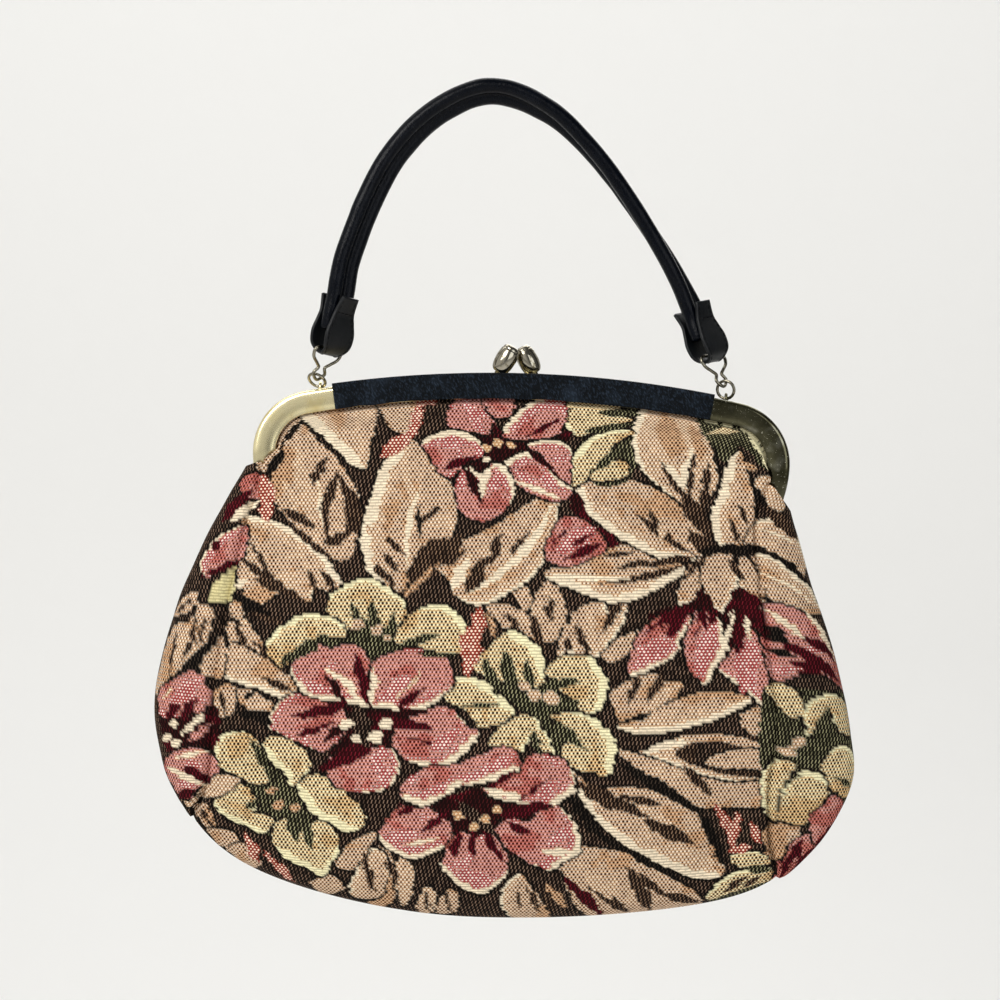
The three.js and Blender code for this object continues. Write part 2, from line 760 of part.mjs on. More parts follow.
const hangers = HANGERS.map((row) => ({ ...row, ...hangerFrames(row) }));
hangers.forEach((row) => {
  add("gusset_" + row.name, gusset(row.side), tapestry());
  add("hinge_rivet_" + row.name, hingeRivet(), brass()).position.copy(hingePoint(row.side));
  const ring = add("ring_" + row.name, ringGeometry(), nickel());
  ring.position.copy(row.ringMiddle);
  ring.rotation.copy(row.ringTurn);
  add("handle_link_" + row.name, linkGeometry(), nickel()).applyMatrix4(row.link);
  add("handle_tab_" + row.name, tabGeometry(), blackLeather()).applyMatrix4(row.tab);
});
add("handle", handleGeometry(hangers.map((row) => row.tab)), navyLeather());

export default handbag;
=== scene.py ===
"""A tapestry handbag on a brass frame, hanging by its rolled leather handle."""
import math

import bpy
import numpy as np
from mathutils import Matrix, Vector


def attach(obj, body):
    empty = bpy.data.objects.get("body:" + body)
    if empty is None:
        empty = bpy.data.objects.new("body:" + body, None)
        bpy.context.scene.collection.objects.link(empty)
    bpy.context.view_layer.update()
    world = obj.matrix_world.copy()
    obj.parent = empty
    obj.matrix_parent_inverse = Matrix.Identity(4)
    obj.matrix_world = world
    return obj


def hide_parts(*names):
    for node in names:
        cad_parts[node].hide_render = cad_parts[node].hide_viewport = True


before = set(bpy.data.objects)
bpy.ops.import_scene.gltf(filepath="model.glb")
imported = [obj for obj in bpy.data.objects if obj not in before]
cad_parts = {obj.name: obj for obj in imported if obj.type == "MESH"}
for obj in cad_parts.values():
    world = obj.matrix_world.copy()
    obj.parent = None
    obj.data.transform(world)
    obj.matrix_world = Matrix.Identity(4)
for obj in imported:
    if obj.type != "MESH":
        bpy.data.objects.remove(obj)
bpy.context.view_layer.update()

# Sizes are in millimetres about the middle of the frame, as in the part, until a mesh is made.
MM = 0.001
BAG_SHIFT = 14.5

# Frame, as in the part
FRAME_HALF_WIDTH = 112.5
FRAME_TOP = -114.2
RAIL_RADIUS = 488.0
CORNER_RADIUS = 26.0
LEG_LENGTH = 18.0
CHANNEL_WALL = 0.9
CHANNEL_FACE = 9.6
CHANNEL_BACK = 8.0
CHANNEL_DEPTH = 6.0
HALVES_GAP = 0.8
LEG_TAPER_SIDE = 3.4
LEG_TAPER_DEPTH = 2.0
HINGE_RISE = 4.5
HINGE_INSET = 6.4
COVER_HALF_RUN = 80.3
COVER_THICKNESS = 1.0
COVER_TOP_DEPTH = 2.7
FIT = 0.3
CORNER_X = FRAME_HALF_WIDTH - CORNER_RADIUS
RAIL_CENTRE_Z = FRAME_TOP - RAIL_RADIUS
CORNER_REACH = RAIL_RADIUS - CORNER_RADIUS
CORNER_Z = RAIL_CENTRE_Z + math.sqrt(CORNER_REACH**2 - CORNER_X**2)
RAIL_ANGLE = math.asin(CORNER_X / CORNER_REACH)
RAIL_RUN = RAIL_RADIUS * RAIL_ANGLE
ARCH_RUN = RAIL_RUN + CORNER_RADIUS * (math.pi / 2 - RAIL_ANGLE)
FRAME_RUN = ARCH_RUN + LEG_LENGTH

# Hardware and handle, as in the part
EYE_X = 85.4
EYE_Y = 3.2
EYE_RADIUS = 1.9
EYE_RISE = 0.9
EYE_WIRE = 0.6
RING_RADIUS = 3.75
RING_WIRE = 0.65
LINK_WIRE = 0.7
LINK_SLACK = 0.85
TAB_THICKNESS = 1.5
TAB_BAR_DROP = 9.0
TAB_YAW = 43.0
ROLL_RADIUS = 3.25
ROLL_SPACING = 6.8
ROLL_END = -1.0
ROLL_NECK = 13.0

# The photograph's frame: size of a pixel, the hang point's pixel and the camera's roll
PIXEL = 0.42
HANG_PIXEL = (497.0, 104.0)
ROLL_COS = 0.99958
ROLL_SIN = 0.02897
CAMERA_DISTANCE = 1500.0
IMAGE_SIZE = 1000


def table(columns, rows):
    return [dict(zip(columns, row)) for row in rows]


# Front panel rows, as in the part
PANEL_ROWS = table(
    ["middleZ", "middleY", "seamY", "leftX", "leftZ", "rightX", "rightZ", "curve", "round"],
    [
        [-138, 11.5, 9.4, -104.5, -153, 100.8, -156, 0.25, 2.4],
        [-160, 18, 12, -112, -170, 98.5, -176, 0.5, 2.4],
        [-190, 24.5, 17, -118, -195, 101, -198, 0.7, 2.4],
        [-225, 29.5, 21.5, -122.8, -227, 105, -226, 0.7, 2.4],
        [-262, 32, 23, -126, -260, 109, -256, 0.7, 2.4],
        [-296, 30, 18, -126.5, -281, 107, -282, 0.7, 2.4],
        [-322, 22, 9, -130, -294, 108, -304, 0.7, 2.6],
        [-337, 10, 3.5, -132.3, -300, 111, -317, 0.7, 4],
        [-341.5, 0.2, 1.5, -133.5, -302.5, 112, -321, 0.7, 16],
    ],
)
GUSSET_ROWS = table(
    ["leftX", "leftZ", "rightX", "rightZ"],
    [
        [-114.6, -155.5, 112.8, -168],
        [-123.5, -172, 116, -179],
        [-135, -196, 122.5, -199],
        [-145.3, -227, 133, -227],
        [-150, -258, 141, -260],
        [-146, -280, 142, -281],
        [-139.5, -294, 130.9, -304],
        [-135.5, -300.4, 118, -318],
        [-134.4, -302.7, 113.3, -321.4],
    ],
)
TAB_ROWS = table(
    ["height", "halfGap", "halfWidth"],
    [
        [-11.1, 0, 4.8],
        [-9.9, 2.8, 5.6],
        [-7.5, 4.3, 7],
        [-2.5, 4.7, 7.6],
        [2.5, 4.6, 6.4],
        [6.5, 4.6, 5.4],
        [13.5, 6.8, 4.3],
    ],
)
LINK_ROWS = table(
    ["halfWidth", "drop"],
    [[0, 0], [6.1, 0.1], [7.4, 1.5], [6.7, 4.3], [3.6, 6.9], [1.8, 8.6], [3.1, 11.4], [0, 14.2]],
)
HANGERS = table(
    ["name", "side", "ringLean", "ringTurn", "linkX", "linkY", "tabX", "tabY"],
    [
        ["left", -1, 45, -30, 0.366, -0.217, 0.174, 0],
        ["right", 1, 10, -24, -0.37, 0.2, -0.4, 0.15],
    ],
)
HANDLE_ROUTE = [
    [-74.6, -5, -64.8],
    [-57.5, -3, -23.9],
    [-37.5, -1.5, -3],
    [-16.5, 0, 5.4],
    [6.4, 1, -1.9],
    [28.6, 2, -21.4],
    [57.6, 4, -60.9],
]
HANDLE_TWIST = table(["at", "degrees"], [[0.25, 42], [0.5, 38], [0.62, 16], [0.78, 0], [0.9, -16]])

# Folds and dents of the front: middle, direction in degrees, half length, half width and depth
FOLDS = table(
    ["x", "z", "angle", "length", "width", "depth"],
    [
        [-104, -282, -35, 22, 7, 4.5],
        [-117, -262, 78, 13, 6, 3],
        [-113, -305, 38, 13, 6, 3],
        [92, -300, 62, 20, 8, 3],
        [-84, -160, 60, 20, 9, 2],
        [80, -166, -66, 22, 9, 2],
    ],
)
FOLD_ROOM = 0.3  # a fold goes in by at most this share of the way to the centre plane
FOLD_FADE = 8  # power at which the folds fade toward the side seams
SEAM_TURN = 10  # power at which a panel turns at its side seams
GUSSET_ROUND = 2.8  # power of a gusset's bulge
SHOULDER_SHARE = 1 / 9  # where the side seam starts, along a panel's fall


# Camera, light and stage

def pixel_place(px, py):
    """The place on the centre plane, in the root frame, that shows at a pixel."""
    dx = px - HANG_PIXEL[0]
    dy = py - HANG_PIXEL[1]
    return PIXEL * (dx * ROLL_COS + dy * ROLL_SIN), PIXEL * (dx * ROLL_SIN - dy * ROLL_COS)


def make_camera():
    camera = bpy.data.objects.new("camera", bpy.data.cameras.new("camera"))
    camera.data.lens = camera.data.sensor_width * CAMERA_DISTANCE / (PIXEL * IMAGE_SIZE)
    x, z = pixel_place(IMAGE_SIZE / 2, IMAGE_SIZE / 2)
    right = (ROLL_COS, 0, ROLL_SIN)
    up = (-ROLL_SIN, 0, ROLL_COS)
    back = (0, -1, 0)
    turn = Matrix((right, up, back)).transposed().to_4x4()
    camera.matrix_world = Matrix.Translation((x * MM, -CAMERA_DISTANCE * MM, z * MM)) @ turn
    bpy.context.collection.objects.link(camera)
    bpy.context.scene.camera = camera


def area_light(name, place, aim, size, watts, color):
    light = bpy.data.lights.new(name, "AREA")
    light.shape = "RECTANGLE"
    light.size, light.size_y = size
    light.energy = watts
    light.color = color
    lamp = bpy.data.objects.new(name, light)
    lamp.location = place
    lamp.rotation_euler = (Vector(aim) - Vector(place)).to_track_quat("-Z", "Y").to_euler()
    bpy.context.collection.objects.link(lamp)


# Lights, with places and sizes in metres
BACKDROP_Y = 2.3
BAG_MIDDLE = (0.01, 0.0, -0.2)
BACKDROP_MIDDLE = (0.0, BACKDROP_Y, -0.3)
LIGHTS = table(
    ["name", "place", "aim", "size", "watts", "color"],
    [
        ["key", (-0.75, -1.4, 0.72), BAG_MIDDLE, (0.9, 0.9), 21, (1.0, 0.985, 0.96)],
        ["fill", (1.1, -1.5, 0.1), BAG_MIDDLE, (1.2, 1.2), 9, (0.95, 0.97, 1.0)],
        ["back", (0.3, 1.3, 0.9), BAG_MIDDLE, (1.2, 1.2), 10, (1.0, 1.0, 1.0)],
        ["backdrop_light", (-0.2, 0.6, 1.5), BACKDROP_MIDDLE, (2.6, 1.0), 24, (1.0, 1.0, 0.99)],
    ],
)


# The room: place along the ramp and colour, at its left and at its right
ROOM_LEFT = (0.36, (0.9, 0.89, 0.87, 1))
ROOM_RIGHT = (0.58, (0.16, 0.165, 0.165, 1))
ROOM_STRENGTH = 0.8


def make_world():
    """A pale room that is brighter on the left and darker on the right."""
    world = bpy.data.worlds.new("room")
    bpy.context.scene.world = world
    world.use_nodes = True
    nodes = world.node_tree.nodes
    links = world.node_tree.links
    coordinate = nodes.new("ShaderNodeTexCoord")
    split = nodes.new("ShaderNodeSeparateXYZ")
    ramp = nodes.new("ShaderNodeValToRGB")
    shift = nodes.new("ShaderNodeMapRange")
    shift.inputs["From Min"].default_value = -1
    shift.inputs["From Max"].default_value = 1
    for stop, (position, color) in zip(ramp.color_ramp.elements, (ROOM_LEFT, ROOM_RIGHT)):
        stop.position = position
        stop.color = color
    links.new(coordinate.outputs["Generated"], split.inputs[0])
    links.new(split.outputs["X"], shift.inputs["Value"])
    links.new(shift.outputs["Result"], ramp.inputs["Fac"])
    links.new(ramp.outputs["Color"], nodes["Background"].inputs["Color"])
    nodes["Background"].inputs["Strength"].default_value = ROOM_STRENGTH


# The stage, in metres
FLOOR_FRONT = -4.0
FLOOR_Z = -0.8
BACKDROP_TOP = 3.5
BACKDROP_HALF = 5.0
BACKDROP_BEND = 0.6
BEND_STEPS = 8
BACKDROP_COLOR = (0.84, 0.835, 0.82, 1)
BACKDROP_ROUGHNESS = 0.9


def make_stage():
    """A pale floor that curves up into a pale backdrop, far behind the bag."""
    bend_y = BACKDROP_Y - BACKDROP_BEND
    profile = [(FLOOR_FRONT, FLOOR_Z), (bend_y, FLOOR_Z)]
    for k in range(1, BEND_STEPS + 1):
        angle = k * math.pi / (2 * BEND_STEPS)
        rise = BACKDROP_BEND * (1 - math.cos(angle))
        profile.append((bend_y + BACKDROP_BEND * math.sin(angle), FLOOR_Z + rise))
    profile.append((BACKDROP_Y, BACKDROP_TOP))
    points = [(x, y, z) for x in (-BACKDROP_HALF, BACKDROP_HALF) for y, z in profile]
    count = len(profile)
    faces = [(k, k + 1, k + 1 + count, k + count) for k in range(count - 1)]
    mesh = bpy.data.meshes.new("backdrop")
    mesh.from_pydata(points, [], faces)
    mesh.shade_smooth()
    backdrop = bpy.data.objects.new("backdrop", mesh)
    bpy.context.collection.objects.link(backdrop)
    paint = bpy.data.materials.new("backdrop_paint")
    paint.use_nodes = True
    shader = paint.node_tree.nodes["Principled BSDF"]
    shader.inputs["Base Color"].default_value = BACKDROP_COLOR
    shader.inputs["Roughness"].default_value = BACKDROP_ROUGHNESS
    mesh.materials.append(paint)


# Materials

def linear(rgb):
    """An 8-bit screen colour as a linear one."""
    share = np.asarray(rgb, float) / 255
    return tuple(np.where(share <= 0.04045, share / 12.92, ((share + 0.055) / 1.055) ** 2.4)) + (1.0,)


class Finish:
    """A material, and the few forms of node that its surface is worked out from."""

    def __init__(self, name, color, roughness, metallic=0.0):
        self.material = bpy.data.materials.new(name)
        self.material.use_nodes = True
        self.tree = self.material.node_tree
        self.shader = self.tree.nodes["Principled BSDF"]
        self.shader.inputs["Base Color"].default_value = linear(color)
        self.shader.inputs["Roughness"].default_value = roughness
        self.shader.inputs["Metallic"].default_value = metallic

    def node(self, kind, inputs=None, **settings):
        node = self.tree.nodes.new(kind)
        for name, value in settings.items():
            setattr(node, name, value)
        for key, value in (inputs or {}).items():
            self.feed(node.inputs[key], value)
        return node

    def feed(self, socket, value):
        if isinstance(value, bpy.types.NodeSocket):
            self.tree.links.new(value, socket)
        else:
            socket.default_value = value

    def math(self, operation, a, b=0.0):
        return self.node("ShaderNodeMath", {0: a, 1: b}, operation=operation).outputs[0]

    def add(self, a, b):
        return self.math("ADD", a, b)

    def times(self, a, b):
        return self.math("MULTIPLY", a, b)

    def step(self, value, low, high):
        """0 below low, 1 above high and smooth between. high may be the smaller one."""
        inputs = {"Value": value, "From Min": low, "From Max": high}
        return self.node("ShaderNodeMapRange", inputs, interpolation_type="SMOOTHSTEP").outputs[0]

    def mix(self, share, a, b, blend="MIX"):
        inputs = {0: share, 6: a, 7: b}
        return self.node("ShaderNodeMix", inputs, data_type="RGBA", blend_type=blend).outputs[2]

    def noise(self, scale, detail=2.0, vector=None):
        inputs = {"Scale": scale, "Detail": detail}
        if vector is not None:
            inputs["Vector"] = vector
        return self.node("ShaderNodeTexNoise", inputs).outputs[0]

    def attribute(self, name):
        return self.node("ShaderNodeAttribute", attribute_name=name).outputs["Color"]

    def set(self, name, value):
        self.feed(self.shader.inputs[name], value)

    def bump(self, height, distance, strength=1.0):
        inputs = {"Height": height, "Distance": distance * MM, "Strength": strength}
        self.set("Normal", self.node("ShaderNodeBump", inputs).outputs[0])


def object_place(finish):
    """Object coordinates in millimetres."""
    place = finish.node("ShaderNodeTexCoord").outputs["Object"]
    size = (1 / MM, 1 / MM, 1 / MM)
    return finish.node("ShaderNodeVectorMath", {0: place, 1: size}, operation="MULTIPLY").outputs[0]


# Weave of the tapestry. Lengths are shares of a thread's pitch, and pairs are the ends of a soft step.
DRIFT_SCALE = 140.0  # soft noise that thins and thickens the weave from place to place
DOT_REACH = 0.46  # radius of a dot before its size varies
DOT_LEAST = 0.575  # size of the smallest dots, and how much chance and the soft noise add
DOT_CHANCE = 0.45
DOT_DRIFT = 0.4
DOT_NARROW = 1.27  # threads are wider than they are high, and this makes the dots round
DOT_EDGE = (0.09, -0.07)
DOT_YARNS = (0.05, 0.2)  # yarns with less than this have no dots and knots
KNOT_NARROW = 1.1  # the knots of yarn between the dots stay a little wide
KNOT_EDGE = (0.16, 0.52)
DIP_PAINTED_SHADE = (0.68, 0.47, 0.31, 1.0)  # painted shade in the dips between knots
WHITE = (1.0, 1.0, 1.0, 1.0)
LINE_EDGE = (0.22, 0.5)  # dark lines between the rows of floats
LINE_SHADE = 0.66
BREAK_EDGE = (0.4, 0.5)  # breaks between the stitches of a row
BREAK_SHADE = 0.35
STITCHES = 0.5  # stitches for each thread across, and how far each row is shifted
STITCH_SHIFT = 0.37
FLECK_SLANT = 0.2
FLECK_ROWS = 0.72  # rows of flecks for each thread down
FLECK_SIDE = (0.2, 0.05)
FLECK_END = (0.5, 0.36)
FLECK_CHANCE = (-0.3, 0.75)
TONE_LEAST = 0.74  # tone of the darkest threads, and how much chance and the soft noise add
TONE_CHANCE = 0.3
TONE_DRIFT = 0.24
DIP_DEPTH = 0.6  # depth of the dips and heights of flecks and threads, where a dot is 1 deep
FLECK_HEIGHT = 0.5
THREAD_HEIGHT = 0.35


def tapestry_finish():
    """Woven cloth: the yarn colours come from the chart, and the threads are drawn here."""
    finish = Finish("tapestry_weave", (140, 105, 85), 0.88)
    add, times, step = finish.add, finish.times, finish.step
    uv = finish.node("ShaderNodeUVMap", uv_map="Threads").outputs[0]
    split = finish.node("ShaderNodeSeparateXYZ", {0: uv})
    across, down = split.outputs["X"], split.outputs["Y"]
    main = finish.attribute("Yarn")
    under = finish.attribute("Under")
    form = finish.node("ShaderNodeSeparateColor", {0: finish.attribute("Weave")})
    dots, floats, flecks = form.outputs[0], form.outputs[1], form.outputs[2]

    def floor(value):
        return finish.math("FLOOR", value)

    def centred(value):
        return finish.math("SUBTRACT", finish.math("FRACT", value), 0.5)

    def off_centre(value):
        return finish.math("ABSOLUTE", centred(value))

    def brick(value, row):
        return add(value, times(finish.math("FLOORED_MODULO", row, 2.0), 0.5))

    def radius(x, y):
        squares = add(finish.math("POWER", x, 2.0), finish.math("POWER", y, 2.0))
        return finish.math("SQRT", squares)

    def chance(column, row):
        cell = finish.node("ShaderNodeCombineXYZ", {0: floor(column), 1: row}).outputs[0]
        return finish.node("ShaderNodeTexWhiteNoise", {"Vector": cell}).outputs["Value"]

    soft = finish.noise(DRIFT_SCALE, detail=3.0)
    row = floor(down)
    spotted = step(dots, *DOT_YARNS)

    # Dots of uneven size where the warp shows between the yarns, in a brick pattern
    bricks = brick(across, row)
    varied = add(times(chance(bricks, row), DOT_CHANCE), times(soft, DOT_DRIFT))
    reach = times(times(dots, DOT_REACH), add(varied, DOT_LEAST))
    distance = radius(times(centred(bricks), DOT_NARROW), centred(down))
    dot = times(step(finish.math("SUBTRACT", distance, reach), *DOT_EDGE), spotted)

    # Dips round the knots of yarn that lie between the dots, sunk in the bump and darkened with painted
    # shade
    knots = brick(add(across, 0.5), row)
    knot_distance = radius(times(centred(knots), KNOT_NARROW), centred(down))
    dip = times(step(knot_distance, *KNOT_EDGE), spotted)

    # Floats: rows of long stitches with dark lines and breaks between them
    line = times(step(off_centre(down), *LINE_EDGE), LINE_SHADE)
    stitch = add(times(across, STITCHES), times(row, STITCH_SHIFT))
    gap = times(step(off_centre(stitch), *BREAK_EDGE), BREAK_SHADE)
    weft = times(finish.math("MAXIMUM", line, gap), floats)

    # Flecks: short slanted stitches of pale warp over the dark ground
    slant = add(across, times(down, FLECK_SLANT))
    tall = times(down, FLECK_ROWS)
    tall_row = floor(tall)
    beside = off_centre(brick(slant, tall_row))
    dash = times(step(beside, *FLECK_SIDE), step(off_centre(tall), *FLECK_END))
    fleck = times(times(dash, step(chance(slant, tall_row), *FLECK_CHANCE)), flecks)

    # Colour, with painted shade in the dips, and height
    color = finish.mix(1.0, main, finish.mix(dip, WHITE, DIP_PAINTED_SHADE), blend="MULTIPLY")
    for share in (dot, weft, fleck):
        color = finish.mix(share, color, under)
    uneven = chance(across, floor(times(down, 2.0)))
    tone = add(add(times(uneven, TONE_CHANCE), times(soft, TONE_DRIFT)), TONE_LEAST)
    toned = finish.node("ShaderNodeHueSaturation", {"Value": tone, "Color": color}).outputs[0]
    finish.set("Base Color", toned)
    dark = finish.math("MAXIMUM", dot, times(dip, DIP_DEPTH))
    low = finish.math("MAXIMUM", dark, weft)
    height = finish.math("SUBTRACT", times(fleck, FLECK_HEIGHT), low)
    finish.bump(add(height, times(uneven, THREAD_HEIGHT)), distance=0.28, strength=0.9)
    finish.set("Specular IOR Level", 0.06)
    return finish.material


# Leathers: colours, roughness, shine, scale and depth of the grain, and slant of the creases
LEATHERS = table(
    ["name", "dark", "light", "roughness", "shine", "grain", "depth", "slant"],
    [
        ["rail_navy_leather", (2, 6, 11), (36, 46, 58), 0.42, 0.09, 0.75, 0.8, 28.0],
        ["tab_black_leather", (5, 7, 10), (17, 20, 23), 0.34, 0.3, 1.2, 0.12, 0.0],
        ["handle_navy_leather", (2, 4, 10), (8, 12, 20), 0.2, 0.11, 1.0, 0.14, 0.0],
        ["tab_black_thread", (2, 2, 3), (8, 8, 9), 0.3, 0.12, 3.0, 0.05, 0.0],
    ],
)
CREASE_STRETCH = (1.0, 1.0, 0.36)
CREASE_SCALE = 3.0  # creases are this much finer than pebbles
CREASE_HIGHLIGHT = 0.8  # how much the painted highlight on the creases and the worn spots pale the leather
WORN_PALE = 0.5
WORN_ROUGH = 0.25  # worn leather and worn plate are rougher by up to this
UNWORN = 0.12  # and leather that isn't worn is smoother by this
PEBBLE_SINK = -0.6


def leather_finish(name, dark, light, roughness, shine, grain, depth, slant):
    """Leather with a fine pebbled grain, slanting creases with a painted highlight, and paler worn spots.
    """
    finish = Finish(name, dark, roughness)
    add, times, step = finish.add, finish.times, finish.step
    place = object_place(finish)
    turn = {"Vector": place, "Angle": math.radians(slant)}
    leaning = finish.node("ShaderNodeVectorRotate", turn, rotation_type="Y_AXIS").outputs[0]
    stretch = {0: leaning, 1: CREASE_STRETCH}
    stretched = finish.node("ShaderNodeVectorMath", stretch, operation="MULTIPLY").outputs[0]
    cells = {"Vector": stretched, "Scale": grain}
    pebble = finish.node("ShaderNodeTexVoronoi", cells, feature="SMOOTH_F1").outputs["Distance"]
    crease = finish.noise(grain * CREASE_SCALE, detail=3.0, vector=stretched)
    worn = finish.noise(0.09, detail=3.0, vector=place)
    # Creases are paled toward the light colour: a painted highlight where they catch the light.
    crease_highlight = times(step(crease, low=0.5, high=0.66), CREASE_HIGHLIGHT)
    shade = add(times(step(worn, low=0.45, high=0.75), WORN_PALE), crease_highlight)
    finish.set("Base Color", finish.mix(shade, linear(dark), linear(light)))
    finish.set("Roughness", add(times(worn, WORN_ROUGH), roughness - UNWORN))
    finish.bump(add(times(pebble, PEBBLE_SINK), crease), depth, strength=0.8)
    finish.set("Specular IOR Level", shine)
    return finish.material


# Colours of the brass: two of the polish, two of the darker right end, which is tarnish and painted dark
# reflection, and the painted hazy highlight and specks on that
BRASS_PALE = (250, 237, 190)
BRASS_DEEP = (232, 213, 154)
TARNISH_AND_REFLECTION_PALE = (98, 95, 73)
TARNISH_AND_REFLECTION_DEEP = (62, 60, 43)
HAZE_HIGHLIGHT = (168, 166, 148)
TARNISH_SPECK = (236, 232, 214)
TARNISH_AND_REFLECTION_RUN = (-30.0, 90.0)  # the tarnish and painted dark reflection come in between these places, from left to right
HAZE_HIGHLIGHT_SHARE = 0.45
SPECK_SHARE = 0.6
# Roughness of the brass: the least, and what clouds, specks and the darker right end add
BRASS_ROUGH = 0.18
CLOUD_ROUGH = 0.16
SPECK_ROUGH = 0.25
DARK_END_ROUGH = -0.1


def brass_finish():
    """Pale polished brass, darker at the right end with tarnish and painted dark reflection, and with a
    painted hazy highlight and specks there.
    """
    finish = Finish("frame_brass_polished", (236, 224, 182), 0.26, 1.0)
    add, times, step = finish.add, finish.times, finish.step
    place = object_place(finish)
    cloud = finish.noise(0.1, detail=3.0, vector=place)
    # The right end is darkened: tarnish and painted dark reflection.
    right = step(finish.node("ShaderNodeSeparateXYZ", {0: place}).outputs["X"], *TARNISH_AND_REFLECTION_RUN)
    # Paler cloudy patches over the dark end: a painted hazy highlight.
    haze_highlight = step(finish.noise(0.16, detail=2.0, vector=place), low=0.52, high=0.72)
    speck = step(finish.noise(1.5, detail=4.0, vector=place), low=0.66, high=0.73)
    spots = times(speck, right)
    pale = finish.mix(step(cloud, low=0.45, high=0.75), linear(BRASS_PALE), linear(BRASS_DEEP))
    dull = finish.mix(step(cloud, low=0.4, high=0.7), linear(TARNISH_AND_REFLECTION_PALE), linear(TARNISH_AND_REFLECTION_DEEP))
    dull = finish.mix(times(haze_highlight, HAZE_HIGHLIGHT_SHARE), dull, linear(HAZE_HIGHLIGHT))
    dull = finish.mix(times(spots, SPECK_SHARE), dull, linear(TARNISH_SPECK))
    finish.set("Base Color", finish.mix(right, pale, dull))
    rough = add(times(cloud, CLOUD_ROUGH), times(spots, SPECK_ROUGH))
    finish.set("Roughness", add(add(rough, BRASS_ROUGH), times(right, DARK_END_ROUGH)))
    finish.bump(spots, distance=0.06, strength=0.5)
    return finish.material


PLATES = table(
    ["name", "bright", "worn_color", "roughness"],
    [
        ["wire_nickel_plate", (138, 133, 118), (80, 74, 58), 0.16],
        ["clasp_nickel_plate", (164, 158, 142), (106, 98, 75), 0.1],
    ],
)


def plated_finish(name, bright, worn_color, roughness):
    """Bright plate with worn, darker patches and fine scratches."""
    finish = Finish(name, bright, roughness, 1.0)
    place = object_place(finish)
    worn = finish.step(finish.noise(0.55, detail=4.0, vector=place), low=0.52, high=0.72)
    finish.set("Base Color", finish.mix(worn, linear(bright), linear(worn_color)))
    finish.set("Roughness", finish.add(finish.times(worn, WORN_ROUGH), roughness))
    finish.bump(finish.noise(3.0, detail=2.0, vector=place), distance=0.03, strength=0.25)
    return finish.material


# Meshes from grids of points

def add_mesh(name, points, faces, material, slot, *nodes):
    """A smooth mesh from points in millimetres. It rides on the bag and stands for the CAD nodes."""
    world = (np.asarray(points, float) + np.array([BAG_SHIFT, 0.0, 0.0])) * MM
    mesh = bpy.data.meshes.new(name)
    mesh.from_pydata(world.tolist(), [], [[int(k) for k in face] for face in faces])
    mesh.validate()
    mesh.shade_smooth()
    mesh.materials.append(material)
    piece = bpy.data.objects.new(name, mesh)
    bpy.context.collection.objects.link(piece)
    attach(piece, "root")
    if nodes:
        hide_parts(*nodes)
    return piece


def grid_faces(rows, columns, wrap_rows=False, wrap_columns=False):
    index = np.arange(rows * columns).reshape(rows, columns)
    if wrap_rows:
        index = np.vstack([index, index[:1]])
    if wrap_columns:
        index = np.hstack([index, index[:, :1]])
    quads = [index[:-1, :-1], index[1:, :-1], index[1:, 1:], index[:-1, 1:]]
    return np.stack([q.ravel() for q in quads], axis=1)


def grid_normals(grid):
    """Directions out of a grid of points: down its columns crossed with along its rows."""
    normal = np.cross(np.gradient(grid, axis=0), np.gradient(grid, axis=1))
    return normal / np.linalg.norm(normal, axis=2, keepdims=True)


LEAST_STEP = 1e-4  # keeps two points in one place from dividing by nothing


def through(points, shares):
    """Smooth curves through points (key, curve, xyz), at shares of the way along."""
    points = np.asarray(points, float)
    first = 2 * points[:1] - points[1:2]
    last = 2 * points[-1:] - points[-2:-1]
    keys = np.concatenate([first, points, last])
    place = np.clip(np.asarray(shares, float), 0, 1) * (len(points) - 1)
    span = np.minimum(place.astype(int), len(points) - 2)
    w = (place - span)[:, None, None]
    p0, p1, p2, p3 = (keys[span + k] for k in range(4))
    d0, d1, d2 = (
        np.maximum(np.sqrt(np.linalg.norm(b - a, axis=2, keepdims=True)), LEAST_STEP)
        for a, b in ((p0, p1), (p1, p2), (p2, p3))
    )
    t1 = d1 * ((p1 - p0) / d0 - (p2 - p0) / (d0 + d1) + (p2 - p1) / d1)
    t2 = d1 * ((p2 - p1) / d1 - (p3 - p1) / (d1 + d2) + (p3 - p2) / d2)
    return p1 + t1 * w + (3 * (p2 - p1) - 2 * t1 - t2) * w**2 + (2 * (p1 - p2) + t1 + t2) * w**3


def curve_through(points, count):
    return through(np.asarray(points, float)[:, None, :], np.linspace(0, 1, count))[:, 0]


FINE_STEPS = 40  # steps from point to point when the length of a curve is measured


def even_curve(points, count):
    """A smooth curve through points, at even steps of its length."""
    fine = curve_through(points, FINE_STEPS * len(points))
    run = np.concatenate([[0], np.cumsum(np.linalg.norm(np.diff(fine, axis=0), axis=1))])
    even = np.linspace(0, run[-1], count)
    return np.stack([np.interp(even, run, fine[:, k]) for k in range(3)], axis=1)


def closed_curve(points, count):
    """A smooth closed curve through points."""
    points = np.asarray(points, float)
    spans = len(points) + 4
    shares = np.linspace(2 / spans, (len(points) + 2) / spans, count, endpoint=False)
    loop = np.concatenate([points[-2:], points, points[:3]])
    return through(loop[:, None, :], shares)[:, 0]


def run_along(grid, axis):
    """Length along a grid's rows or columns, from its first point."""
    step = np.linalg.norm(np.diff(grid, axis=axis), axis=2)
    pad = [(0, 0), (0, 0)]
    pad[axis] = (1, 0)
    return np.pad(np.cumsum(step, axis=axis), pad)


# Frame geometry

